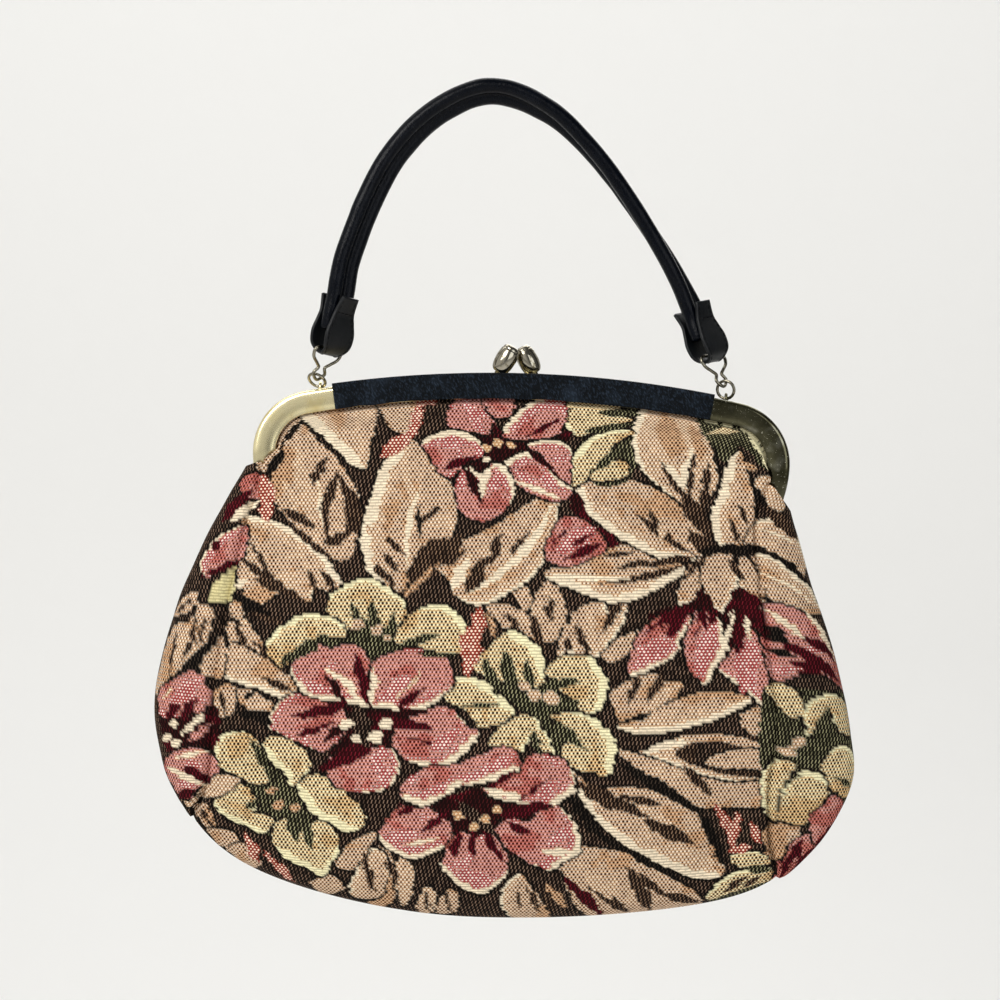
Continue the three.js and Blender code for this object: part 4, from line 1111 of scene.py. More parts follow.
# Tapered strokes: yarn, ends, width, and a sideways bow if there is one. Those on leaves lie under
# the flowers.
LEAF_STROKES = [
    ("light", 296, 446, 316, 524, 19, 2), ("cream", 317, 476, 326, 538, 5, 1),
    ("light", 283, 480, 300, 514, 9), ("shade", 312, 485, 326, 456, 9), ("shade", 308, 475, 321, 479, 6),
    ("shade", 338, 470, 330, 548, 8, 8), ("shade", 337, 476, 322, 514, 12),
    ("shade", 337, 470, 356, 540, 10, -3), ("shade", 353, 490, 349, 544, 17, -2),
    ("shade", 324, 544, 356, 532, 12), ("tan", 340, 562, 355, 532, 12), ("shade", 284, 509, 315, 528, 12),
    ("shade", 286, 522, 334, 562, 7), ("black", 303, 419, 283, 444, 7), ("black", 284, 450, 266, 474, 10),
    ("light", 404, 444, 416, 520, 9, 2), ("light", 364, 526, 388, 552, 9, -4),
    ("cream", 419, 486, 408, 572, 7, 5), ("shade", 420, 522, 442, 506, 7),
    ("shade", 408, 582, 464, 536, 28, -2), ("shade", 407, 586, 434, 538, 18),
    ("black", 419, 504, 419, 538, 5), ("shade", 386, 536, 405, 556, 7), ("shade", 382, 553, 400, 572, 7),
    ("shade", 374, 563, 396, 588, 10), ("light", 424, 528, 452, 516, 9), ("warm", 442, 560, 398, 602, 5),
    ("shade", 247, 538, 278, 586, 6), ("shade", 272, 578, 304, 603, 9), ("shade", 242, 559, 274, 583, 8),
    ("light", 278, 576, 302, 584, 18), ("shade", 309, 568, 316, 594, 7), ("shade", 321, 570, 337, 593, 9),
    ("shade", 253, 579, 284, 591, 9), ("black", 226, 590, 276, 622, 11), ("cream", 232, 588, 248, 580, 8),
    ("shade", 234, 620, 251, 655, 6), ("light", 226, 652, 252, 656, 10), ("shade", 262, 678, 290, 690, 9),
    ("black", 244, 700, 258, 690, 5), ("shade", 286, 626, 250, 612, 6), ("shade", 254, 640, 290, 676, 8),
    ("shade", 544, 604, 553, 622, 8), ("shade", 548, 596, 554, 612, 6), ("shade", 566, 656, 570, 636, 7),
    ("shade", 576, 623, 590, 657, 9), ("shade", 619, 600, 606, 636, 15), ("light", 627, 603, 598, 653, 6),
    ("light", 588, 610, 596, 652, 10), ("shade", 505, 612, 522, 634, 8),
    ("shade", 530, 611, 547, 660, 10), ("warm", 486, 610, 497, 642, 5),
    ("cream", 557, 496, 466, 596, 10, -13), ("shade", 508, 556, 531, 530, 6),
    ("shade", 490, 566, 501, 532, 10), ("shade", 464, 594, 488, 556, 15),
    ("cream", 451, 590, 471, 556, 14), ("shade", 446, 568, 466, 548, 6),
    ("warm", 662, 412, 677, 462, 24, -2), ("light", 648, 418, 653, 472, 8, 2),
    ("black", 700, 410, 718, 474, 6, -3), ("warm", 690, 424, 702, 462, 12, -2),
    ("shade", 660, 460, 692, 508, 10), ("shade", 695, 452, 690, 506, 9, 3),
    ("shade", 709, 462, 700, 514, 11), ("cream", 662, 462, 683, 490, 8, -3),
    ("cream", 692, 446, 684, 488, 9, 3), ("tan", 672, 462, 690, 456, 10),
    ("shade", 680, 490, 712, 540, 18), ("tan", 690, 496, 704, 484, 7), ("shade", 729, 518, 741, 548, 6),
    ("shade", 740, 503, 747, 526, 6), ("warm", 742, 462, 756, 470, 6), ("black", 748, 480, 768, 510, 9),
    ("shade", 766, 506, 798, 540, 14), ("cream", 752, 528, 798, 548, 3, -3),
    ("tan", 752, 534, 800, 560, 3, -3), ("cream", 760, 572, 812, 606, 4, -3),
    ("light", 758, 582, 800, 608, 4, -3), ("black", 756, 546, 806, 584, 7, -3),
    ("black", 754, 594, 812, 622, 6), ("shade", 600, 584, 696, 562, 7, 3),
    ("shade", 618, 568, 652, 560, 7), ("shade", 600, 556, 636, 552, 5),
    ("cream", 552, 574, 630, 578, 7, 2), ("shade", 640, 566, 700, 556, 8),
    ("shade", 636, 513, 692, 554, 8, 2), ("shade", 650, 510, 659, 532, 7),
    ("shade", 688, 530, 710, 556, 14), ("light", 660, 520, 662, 546, 6),
    ("light", 592, 500, 630, 530, 12), ("warm", 612, 494, 650, 504, 10),
    ("black", 694, 553, 768, 549, 11, -2), ("shade", 728, 558, 744, 580, 7),
    ("shade", 682, 580, 706, 556, 6), ("shade", 629, 704, 639, 674, 9), ("shade", 648, 702, 664, 672, 10),
    ("light", 642, 714, 679, 684, 11), ("black", 622, 722, 654, 714, 6), ("shade", 726, 690, 742, 680, 9),
    ("light", 640, 722, 680, 712, 9), ("cream", 642, 753, 694, 740, 9, -1),
    ("black", 740, 712, 756, 704, 7), ("shade", 744, 736, 778, 744, 7), ("shade", 690, 774, 714, 796, 9),
    ("shade", 682, 766, 704, 784, 8), ("black", 618, 762, 704, 814, 12),
    ("black", 696, 810, 724, 868, 12, -3), ("light", 626, 804, 674, 828, 15),
    ("shade", 642, 820, 696, 844, 13), ("shade", 584, 780, 650, 818, 12, 3),
    ("shade", 574, 780, 616, 812, 10), ("light", 656, 846, 718, 864, 15), ("tan", 596, 808, 640, 836, 12),
    ("shade", 620, 796, 664, 806, 8), ("shade", 626, 866, 652, 912, 14), ("shade", 636, 872, 664, 896, 8),
    ("shade", 588, 886, 630, 912, 10), ("shade", 660, 894, 700, 902, 9),
    ("light", 582, 868, 612, 900, 12), ("wine", 562, 876, 606, 918, 10), ("black", 574, 820, 684, 884, 7),
    ("black", 566, 792, 604, 838, 12), ("shade", 362, 852, 374, 892, 8), ("shade", 388, 860, 398, 886, 7),
    ("shade", 540, 890, 556, 912, 8), ("shade", 525, 884, 541, 914, 6), ("shade", 515, 890, 521, 910, 4),
    ("shade", 423, 888, 430, 914, 5), ("shade", 443, 890, 452, 914, 5), ("warm", 546, 884, 566, 908, 8),
    # The shade stroke from (222, 690) to (224, 716) is painted shade on the piece in the fold at the left
    # seam.
    ("black", 166, 685, 225, 631, 10, 3), ("shade", 222, 690, 224, 716, 5),
    ("shade", 184, 664, 200, 614, 6, 3), ("shade", 168, 676, 176, 632, 5, 3),
    ("light", 177, 664, 191, 626, 10), ("shade", 200, 648, 209, 616, 5), ("shade", 172, 614, 196, 598, 5),
    ("shade", 199, 808, 212, 826, 5), ("black", 186, 672, 206, 660, 8), ("black", 236, 712, 290, 724, 12),
]
FLOWER_STROKES = [
    ("olive", 596, 412, 640, 414, 8), ("olive", 584, 432, 634, 424, 8), ("olive", 590, 474, 636, 436, 9),
    ("straw", 698, 419, 742, 427, 6, -2), ("yellow", 708, 434, 738, 432, 6, -2),
    ("straw", 738, 424, 768, 472, 6, -6), ("rose", 462, 396, 485, 434, 10),
    ("deep", 486, 398, 508, 412, 10), ("rose", 522, 414, 560, 400, 9), ("wine", 526, 438, 562, 418, 6),
    ("rose", 440, 446, 464, 444, 8), ("wine", 442, 470, 476, 456, 9), ("dusk", 466, 466, 482, 504, 11),
    ("cream", 481, 498, 494, 464, 8, -3), ("rose", 486, 490, 506, 476, 12),
    ("cream", 512, 480, 562, 500, 6), ("deep", 524, 466, 544, 476, 9), ("rose", 514, 470, 536, 484, 9),
    ("dusk", 520, 448, 562, 482, 6, -4), ("rose", 556, 552, 596, 528, 18),
    ("wine", 564, 560, 604, 543, 9), ("wine", 572, 546, 592, 534, 5), ("wine", 551, 550, 570, 528, 5, -3),
    ("wine", 646, 634, 694, 608, 14, -3), ("wine", 664, 644, 686, 612, 10),
    ("deep", 640, 648, 664, 624, 8), ("rose", 634, 668, 672, 636, 17), ("wine", 694, 638, 706, 606, 10),
    ("wine", 706, 636, 715, 608, 8), ("deep", 690, 640, 700, 620, 6), ("rose", 698, 676, 714, 622, 20),
    ("cream", 733, 608, 701, 684, 7, -7), ("wine", 743, 608, 738, 658, 11),
    ("wine", 756, 606, 768, 640, 12), ("rose", 744, 694, 752, 638, 24), ("cream", 744, 614, 752, 640, 5),
    ("olive", 372, 646, 350, 602, 13), ("olive", 378, 650, 370, 600, 13),
    ("olive", 386, 646, 394, 610, 9), ("olive", 280, 664, 330, 634, 13), ("olive", 398, 646, 442, 634, 9),
    ("olive", 416, 654, 458, 654, 7), ("olive", 514, 700, 506, 650, 15),
    ("olive", 529, 694, 528, 660, 11), ("olive", 500, 698, 484, 658, 12),
    ("olive", 454, 708, 504, 703, 5), ("olive", 542, 686, 580, 680, 11), ("olive", 556, 704, 582, 702, 9),
    ("olive", 552, 718, 588, 752, 9), ("olive", 530, 728, 540, 756, 8),
    ("olive", 248, 736, 275, 786, 9, -2), ("olive", 256, 796, 276, 786, 8),
    ("olive", 286, 806, 298, 842, 11), ("olive", 302, 808, 312, 850, 10),
    ("olive", 246, 808, 262, 800, 8), ("cream", 323, 667, 364, 706, 8, -4),
    ("dusk", 324, 674, 346, 702, 9), ("wine", 356, 652, 369, 706, 11), ("cream", 375, 666, 372, 706, 8),
    ("rose", 300, 682, 330, 694, 9), ("rose", 380, 700, 412, 676, 14), ("light", 424, 670, 396, 700, 4),
    ("wine", 396, 709, 424, 688, 8), ("wine", 292, 716, 348, 702, 13, 3), ("wine", 296, 736, 334, 722, 8),
    ("deep", 296, 728, 336, 716, 8), ("dusk", 322, 742, 348, 722, 9), ("wine", 386, 722, 434, 729, 12),
    ("wine", 394, 736, 438, 745, 5), ("dusk", 380, 714, 430, 712, 9), ("rose", 430, 752, 462, 728, 12),
    ("deep", 400, 738, 430, 752, 8), ("wine", 320, 770, 374, 744, 17), ("ground", 354, 704, 370, 748, 20),
    ("rose", 374, 752, 388, 788, 14), ("wine", 486, 792, 516, 769, 7), ("rose", 462, 784, 516, 754, 10),
    ("rose", 412, 796, 450, 788, 8), ("cream", 486, 790, 524, 797, 9), ("wine", 516, 803, 550, 778, 4),
    ("rose", 530, 800, 562, 780, 9), ("wine", 500, 816, 552, 805, 14), ("wine", 508, 826, 536, 836, 8),
    ("deep", 512, 842, 540, 834, 9), ("wine", 504, 820, 534, 832, 6, 2), ("cream", 540, 852, 576, 852, 8),
    ("rose", 548, 846, 572, 826, 10), ("wine", 398, 814, 416, 808, 8), ("wine", 420, 832, 450, 812, 10),
    ("rose", 386, 836, 420, 834, 9), ("cream", 404, 846, 440, 838, 5), ("wine", 452, 858, 460, 830, 10),
    ("wine", 472, 858, 474, 828, 9), ("wine", 482, 828, 502, 862, 10), ("ground", 456, 800, 496, 836, 12),
    ("rose", 456, 872, 490, 880, 13), ("wine", 772, 638, 842, 684, 11, -3),
    ("wine", 798, 636, 840, 664, 10, -3), ("black", 763, 626, 788, 644, 15),
    ("cream", 766, 610, 804, 640, 7), ("cream", 800, 610, 838, 662, 6, -3),
    ("wine", 786, 662, 820, 672, 13), ("black", 766, 648, 794, 658, 8), ("rose", 770, 670, 800, 668, 8),
    ("wine", 779, 878, 800, 838, 9), ("wine", 790, 872, 810, 846, 6), ("wine", 810, 848, 838, 812, 8, 2),
    ("olive", 708, 902, 780, 878, 9, 2), ("shade", 722, 893, 748, 876, 6),
    ("shade", 740, 888, 762, 876, 5), ("olive", 742, 868, 772, 870, 8), ("olive", 812, 724, 826, 706, 6),
    ("olive", 780, 790, 796, 772, 6), ("olive", 826, 776, 850, 788, 5), ("wine", 222, 522, 254, 488, 12),
    ("cream", 230, 522, 260, 500, 8), ("wine", 204, 576, 242, 560, 7), ("wine", 212, 550, 222, 540, 8),
    ("wine", 168, 720, 182, 698, 11), ("wine", 184, 720, 198, 694, 10), ("cream", 162, 700, 176, 686, 4),
    ("rose", 172, 704, 204, 680, 15), ("cream", 182, 736, 208, 712, 5), ("pink", 190, 742, 212, 722, 6),
    ("cream", 174, 758, 208, 752, 6), ("cream", 168, 766, 206, 786, 7), ("wine", 186, 766, 214, 784, 9),
    ("wine", 178, 798, 198, 790, 9), ("coral", 440, 396, 416, 404, 12), ("coral", 421, 398, 413, 438, 13),
    ("coral", 418, 430, 378, 458, 15), ("coral", 482, 606, 468, 678, 22, 2),
    ("coral", 716, 804, 734, 838, 10), ("coral", 739, 810, 731, 850, 11),
    ("coral", 726, 852, 750, 846, 9), ("coral", 751, 822, 761, 844, 9), ("coral", 264, 474, 268, 522, 18),
    ("coral", 245, 832, 259, 864, 11), ("coral", 262, 850, 294, 882, 8),
]

# Stamens: yarn, middle and radius
STAMENS = [
    ("stamen", 486, 448, 4.5), ("stamen", 498, 443, 5), ("stamen", 511, 445, 4.5),
    ("cream", 487, 459, 3.5), ("cream", 346, 724, 7), ("cream", 386, 724, 7), ("cream", 356, 739, 5),
    ("cream", 375, 737, 8), ("stamen", 459, 815, 5.5), ("stamen", 473, 827, 5.5), ("stamen", 485, 819, 5),
    ("stamen", 498, 810, 5), ("tan", 357, 625, 7), ("tan", 377, 630, 6), ("tan", 387, 638, 4),
    ("light", 524, 686, 6), ("light", 536, 695, 7), ("light", 552, 698, 8), ("warm", 272, 791, 5),
    ("warm", 279, 805, 6), ("warm", 296, 808, 5), ("light", 796, 741, 6), ("light", 787, 751, 6),
    ("cream", 175, 724, 5), ("cream", 167, 738, 5), ("cream", 178, 743, 5),
]
LOOP_STEPS = 12  # steps of a motif's loop from each point of its outline to the next
OUTLINE = 2.6  # width of the black line around a motif
UNLINED = ("olive", "wine", "shade")  # kinds that have no black line
RIM_SHARE = 0.6  # rims are woven this much of the width that they are charted
RIM_SPREAD = math.radians(80)  # a rim ends this far round from the way it faces
RIM_FADE = 0.6  # power at which a rim narrows toward its ends
EDGE_BAND = 6.0  # width of the paler band beside a rim, and how much it varies
EDGE_VARIES = 0.5
PATCH_SIZES = (24.0, 9.0)  # mottling in two sizes, and how much each counts
PATCH_SHARES = (0.6, 0.4)
SECOND_ABOVE = 0.25  # a motif is woven in its second shade where the mottling is above this
EDGE_BELOW = -0.45  # and like its edge where it is below this
GRAIN_SIZE = 7.0  # small unevenness of rims and strokes, and how much it changes their width
GRAIN_SHARE = 0.3
STROKE_TIP = 0.75  # power of a stroke's taper
STAMEN_SHARE = 0.82  # a stamen is woven this much of its charted radius
STAMEN_WIDE = 1.15  # and this much wider than high
STAMEN_GRAIN = 0.1
CHART_SEED = 5
LEAST_RISE = 1e-9  # keeps a level step of an outline from dividing by nothing


class Chart:
    """The yarn at each point of a cloth, painted motif over motif."""

    def __init__(self, x, y):
        self.x = x.ravel()
        self.y = y.ravel()
        self.yarn = np.full(self.x.size, YARN["ground"])
        self.grain = smooth_noise(self.x, self.y, GRAIN_SIZE, CHART_SEED)
        large = smooth_noise(self.x, self.y, PATCH_SIZES[0], CHART_SEED + 1)
        small = smooth_noise(self.x, self.y, PATCH_SIZES[1], CHART_SEED + 2)
        self.patch = PATCH_SHARES[0] * large + PATCH_SHARES[1] * small

    def near(self, points, margin):
        low = points.min(axis=0) - margin
        high = points.max(axis=0) + margin
        inside = (self.x > low[0]) & (self.x < high[0]) & (self.y > low[1]) & (self.y < high[1])
        return np.flatnonzero(inside)

    def motif(self, kind, outline, rim=0, toward=0):
        """A closed shape with a black line round it, a pale rim on one side and two mottled shades."""
        body, second, edge, rim_dye = (YARN[name] for name in KINDS[kind])
        corners = np.reshape(outline, (-1, 2))
        loop = closed_curve(corners, LOOP_STEPS * len(corners))
        near = self.near(loop, OUTLINE)
        if not near.size:
            return
        place = np.stack([self.x[near], self.y[near]], axis=1)
        a, b = loop, np.roll(loop, -1, axis=0)
        along = b - a
        rel = place[:, None, :] - a[None]
        share = np.clip((rel * along).sum(axis=2) / (along**2).sum(axis=1), 0, 1)
        gap = share[..., None] * along[None] - rel
        distance = np.linalg.norm(gap, axis=2)
        nearest = distance.argmin(axis=1)
        pick = np.arange(len(place))
        depth = distance[pick, nearest]
        out = gap[pick, nearest]
        crosses = (a[None, :, 1] > place[:, None, 1]) != (b[None, :, 1] > place[:, None, 1])
        rise = np.where(np.abs(along[:, 1]) < LEAST_RISE, LEAST_RISE, along[:, 1])
        hit = a[None, :, 0] + (place[:, None, 1] - a[None, :, 1]) * along[:, 0] / rise
        inside = (crosses & (place[:, None, 0] < hit)).sum(axis=1) % 2 == 1
        yarn = self.yarn[near]
        if kind not in UNLINED:
            yarn[~inside & (depth < OUTLINE)] = YARN["black"]
        patch, grain = self.patch[near], self.grain[near]
        fill = np.where(patch > SECOND_ABOVE, second, np.where(patch < EDGE_BELOW, edge, body))
        if rim:
            turn = np.arctan2(out[:, 1], out[:, 0]) - math.radians(toward)
            ends = math.cos(RIM_SPREAD)
            facing = np.clip((np.cos(turn) - ends) / (1 - ends), 0, 1) ** RIM_FADE
            band = RIM_SHARE * rim * facing * (1 + GRAIN_SHARE * grain)
            beside = band + EDGE_BAND * facing * (1 + EDGE_VARIES * patch)
            fill = np.where(depth < beside, edge, fill)
            fill = np.where(depth < band, rim_dye, fill)
        self.yarn[near] = np.where(inside, fill, yarn)

    def stroke(self, dye, x1, y1, x2, y2, width, bow=0):
        """A stroke that tapers at both ends."""
        ends = np.array([(x1, y1), (x2, y2)], float)
        near = self.near(ends, width + abs(bow))
        length = np.linalg.norm(ends[1] - ends[0])
        axis = (ends[1] - ends[0]) / length
        dx, dy = self.x[near] - x1, self.y[near] - y1
        share = (dx * axis[0] + dy * axis[1]) / length
        swell = np.sin(np.pi * np.clip(share, 0, 1))
        side = dy * axis[0] - dx * axis[1] - bow * swell
        half = 0.5 * width * swell**STROKE_TIP * (1 + GRAIN_SHARE * self.grain[near])
        self.yarn[near[np.abs(side) < half]] = YARN[dye]

    def stamen(self, dye, x, y, radius):
        reach = np.hypot((self.x - x) / STAMEN_WIDE, self.y - y)
        self.yarn[reach < STAMEN_SHARE * radius * (1 + STAMEN_GRAIN * self.grain)] = YARN[dye]

    def paint(self):
        layers = [
            (self.motif, LEAVES),
            (self.stroke, LEAF_STROKES),
            (self.motif, FLOWERS),
            (self.stroke, FLOWER_STROKES),
            (self.stamen, STAMENS),
        ]
        for draw, rows in layers:
            for row in rows:
                draw(*row)
        return self.yarn


# Thread pitch of the weave
THREAD_X = 1.64
THREAD_Z = 1.3
THREAD_SLOPE = 0.035  # the rows fall a little to the right
SERRATION = 4.0  # pixels by which a motif's edge steps from one row of threads to the next
SERRATION_SEED = 9


def chart_pixels(grid):
    """The pixel at which each point of a cloth shows, seen from the front."""
    x = (grid[..., 0] + BAG_SHIFT) / PIXEL
    z = grid[..., 2] / PIXEL
    px = HANG_PIXEL[0] + x * ROLL_COS + z * ROLL_SIN
    py = HANG_PIXEL[1] + x * ROLL_SIN - z * ROLL_COS
    nearer = CAMERA_DISTANCE / (CAMERA_DISTANCE + grid[..., 1])
    middle = IMAGE_SIZE / 2
    return middle + (px - middle) * nearer, middle + (py - middle) * nearer


def weave_cloth(piece, px, py, across, down):
    """Paints the chart on a cloth's points and gives it its thread coordinates."""
    down = down + THREAD_SLOPE * across
    serration = SERRATION * (cell_noise(np.floor(down / THREAD_Z), 0.0, SERRATION_SEED) - 0.5)
    yarn = Chart(px + serration, py).paint()
    looks = {
        "Yarn": np.array([linear(row["main"]) for row in YARNS]),
        "Under": np.array([linear(row["under"]) for row in YARNS]),
        "Weave": np.array([(row["dots"], row["floats"], row["flecks"], 1.0) for row in YARNS]),
    }
    mesh = piece.data
    for name, palette in looks.items():
        layer = mesh.attributes.new(name, "FLOAT_COLOR", "POINT")
        layer.data.foreach_set("color", palette[yarn].astype(np.float32).ravel())
    thread = np.stack([across.ravel() / THREAD_X, down.ravel() / THREAD_Z], axis=1)
    corner = np.empty(len(mesh.loops), dtype=np.int32)
    mesh.loops.foreach_get("vertex_index", corner)
    uv = mesh.uv_layers.new(name="Threads")
    uv.data.foreach_set("uv", thread[corner].astype(np.float32).ravel())


LEVEL_Z = -230.0  # the threads lie level at this height


def level_run(grid):
    """Length down each column, counted from the level thread."""
    down = run_along(grid, 0)
    start = [np.interp(-LEVEL_Z, -grid[:, c, 2], down[:, c]) for c in range(grid.shape[1])]
    return down - np.array(start)[None, :]


def make_panel(name, node, columns, rows, seed, material, back):
    grid = panel_surface(columns, rows, seed, not back)
    across = grid[..., 0] + BAG_SHIFT
    down = level_run(grid)
    px, py = chart_pixels(grid)
    faces = grid_faces(*grid.shape[:2])
    if back:
        grid = grid * np.array([1.0, -1.0, 1.0])
        faces = faces[:, ::-1]
    piece = add_mesh(name, grid.reshape(-1, 3), faces, material, "tapestry", node)
    weave_cloth(piece, px, py, across, down)
    return piece


GUSSET_SPREAD = 1.2  # the pattern on a gusset is drawn this much wider than it shows from the front


def make_gusset(name, node, side, columns, rows, seed, material):
    grid = gusset_surface(side, columns, rows, seed)
    across = run_along(grid, 1)
    near = np.minimum(across, across[:, -1:] - across)
    seam_x, py = chart_pixels(grid)
    px = seam_x[:, :1] + side * near / PIXEL / GUSSET_SPREAD
    faces = grid_faces(*grid.shape[:2])
    if side < 0:
        faces = faces[:, ::-1]
    piece = add_mesh(name, grid.reshape(-1, 3), faces, material, "tapestry", node)
    weave_cloth(piece, px, py, across, level_run(grid))
    return piece


# Swept, turned and joined meshes

def fan(first, count, flip):
    """Triangles that close a ring of points with its first one."""
    faces = [(first, first + k, first + k + 1) for k in range(1, count - 1)]
    return [face[::-1] for face in faces] if flip else faces


def sweep(rings, closed=False):
    """Points and faces of a tube through matching rings of points. An open one gets end caps."""
    rings = np.asarray(rings, float)
    rows, sides = rings.shape[:2]
    faces = grid_faces(rows, sides, closed, True).tolist()
    if not closed:
        faces += fan(0, sides, False) + fan((rows - 1) * sides, sides, True)
    return rings.reshape(-1, 3), faces


def joined(*parts):
    """Several point and face lists as one."""
    points, faces, count = [], [], 0
    for part_points, part_faces in parts:
        points.append(np.asarray(part_points, float))
        faces += [tuple(k + count for k in face) for face in part_faces]
        count += len(part_points)
    return np.concatenate(points), faces


def unit(v):
    return v / np.linalg.norm(v, axis=-1, keepdims=True)


ASKEW = (0.31, 0.22, 0.93)  # a direction that no wire starts along


def wire(path, radius, sides, closed=False):
    """A round wire along a path of points."""
    path = np.asarray(path, float)
    if closed:
        tangent = unit(np.roll(path, -1, axis=0) - np.roll(path, 1, axis=0))
    else:
        tangent = unit(np.gradient(path, axis=0))
    side = unit(np.cross(tangent[0], ASKEW))
    angles = np.linspace(0, 2 * math.pi, sides, endpoint=False)
    rings = []
    for point, along in zip(path, tangent):
        side = unit(side - along * np.dot(side, along))
        other = np.cross(along, side)
        rings.append([point + radius * (side * math.cos(a) - other * math.sin(a)) for a in angles])
    return sweep(rings, closed)


POLE = 0.02  # radius of a turned solid at its ends


def turned(profile, sides):
    """A turned solid about Z through (radius, height) points, from its foot to its top."""
    angles = np.linspace(0, 2 * math.pi, sides, endpoint=False)
    rings = [[(r * math.cos(a), r * math.sin(a), z) for a in angles[::-1]] for r, z in profile]
    return sweep(rings)


CORNER_SHARE = 0.48  # the most of a side that one rounded corner takes up


def rounded(corners, radius, steps=4):
    """A closed outline with its corners rounded. Radii that don't fit are made smaller."""
    corners = np.asarray(corners, float)
    outline = []
    for k, corner in enumerate(corners):
        before, after = corners[k - 1] - corner, corners[(k + 1) % len(corners)] - corner
        reach = min(radius, CORNER_SHARE * min(np.linalg.norm(before), np.linalg.norm(after)))
        a, b = corner + unit(before) * reach, corner + unit(after) * reach
        for w in np.linspace(0, 1, steps):
            outline.append((1 - w) ** 2 * a + 2 * w * (1 - w) * corner + w**2 * b)
    return np.array(outline)


def placed(part, turn, origin):
    points, faces = part
    return points @ np.asarray(turn).T + np.asarray(origin), faces


def about_y(degrees):
    return np.array(Matrix.Rotation(math.radians(degrees), 3, "Y"))


# Frame

FACE_CROWN = 0.45  # the channel's face is pressed slightly round, below the share that stays flat
FACE_FLAT = 0.375
FACE_STEPS = 7
EDGE_BEVEL = 1.9  # radius of the rolled outer edge
EDGE_STEPS = 6
BRIM_BACK = 0.3  # the channel's lower brim is cut back by these inside and on the face
BRIM_FACE = 0.25
BRIM_DROP = 0.7  # and lies this far behind the face


def channel_outline(leg_share):
    """One frame half across: distance in from the outer edge, and distance from the centre plane."""
    outer = LEG_TAPER_SIDE * leg_share**2
    front = CHANNEL_DEPTH - LEG_TAPER_DEPTH * leg_share
    back = HALVES_GAP / 2
    inner = outer + CHANNEL_WALL
    outline = [(outer, back), (CHANNEL_BACK, back), (CHANNEL_BACK, back + CHANNEL_WALL)]
    outline += [(inner, back + CHANNEL_WALL), (inner, front - CHANNEL_WALL)]
    outline += [(CHANNEL_FACE - BRIM_BACK, front - CHANNEL_WALL), (CHANNEL_FACE, front - BRIM_DROP)]
    face = outer + EDGE_BEVEL
    for share in np.linspace(1, 0, FACE_STEPS):
        crown = FACE_CROWN * (2 * max(0.0, share - FACE_FLAT)) ** 2
        outline.append((face + (CHANNEL_FACE - BRIM_FACE - face) * share, front - crown))
    for angle in np.linspace(math.pi / 2, 0, EDGE_STEPS + 1)[1:]:
        inset = EDGE_BEVEL * (1 - math.cos(angle))
        outline.append((outer + inset, front - EDGE_BEVEL * (1 - math.sin(angle))))
    return outline


RAIL_STEPS = 41
CORNER_STEPS = 25
LEG_STEPS = 10


def frame_runs():
    """Lengths along the arch, closer together at the corners."""
    rail = np.linspace(0, RAIL_RUN, RAIL_STEPS)
    corner = np.linspace(RAIL_RUN, ARCH_RUN, CORNER_STEPS)
    leg = np.linspace(ARCH_RUN, FRAME_RUN, LEG_STEPS)
    half = np.concatenate([rail, corner[1:], leg[1:]])
    return np.concatenate([-half[:0:-1], half])


def frame_half(sign):
    """The channel of one half. sign is -1 for the front one."""
    rings = []
    for run in frame_runs():
        leg_share = max(0.0, (abs(run) - ARCH_RUN) / LEG_LENGTH)
        outline = np.array(channel_outline(leg_share))
        if sign > 0:
            outline = outline[::-1]
        rings.append(arch_points(run, outline[:, 0], sign * outline[:, 1]))
    return sweep(rings)


EYE_SINK = 0.5  # depth of the staple's feet in the channel
EYE_STEPS = 13
EYE_SIDES = 10
SOLDER_SIDES = 12
# Drop of solder at a foot: radius and height
SOLDER_DROP = [(POLE, -0.4), (1.15, -0.4), (1.1, 0.0), (0.85, 0.35), (0.6, 0.6), (POLE, 0.62)]


def eye_point(side):
    run = side * RAIL_RADIUS * math.asin(EYE_X / RAIL_RADIUS)
    return arch_points(run, 0.0, EYE_Y)


def eye_wire(side):
    """The staple that holds a ring, with a little solder at its feet."""
    foot = eye_point(side)
    staple = [(0, EYE_RADIUS, -EYE_SINK)]
    for angle in np.linspace(0, math.pi, EYE_STEPS):
        staple.append((0, EYE_RADIUS * math.cos(angle), EYE_RISE + EYE_RADIUS * math.sin(angle)))
    staple.append((0, -EYE_RADIUS, -EYE_SINK))
    feet = [foot + np.array([0, end * EYE_RADIUS, 0]) for end in (-1, 1)]
    drops = [placed(turned(SOLDER_DROP, SOLDER_SIDES), np.eye(3), at) for at in feet]
    return joined(wire(foot + np.array(staple), EYE_WIRE, EYE_SIDES), *drops)


RIVET_RADIUS = 1.3
RIVET_HEAD = 2.2
RIVET_BAND = 0.4  # height of the head's straight side
RIVET_CROWN = 0.75  # share of the head's radius that its crown has, and how far down
RIVET_CROWN_DROP = 0.1
RIVET_SIDES = 20


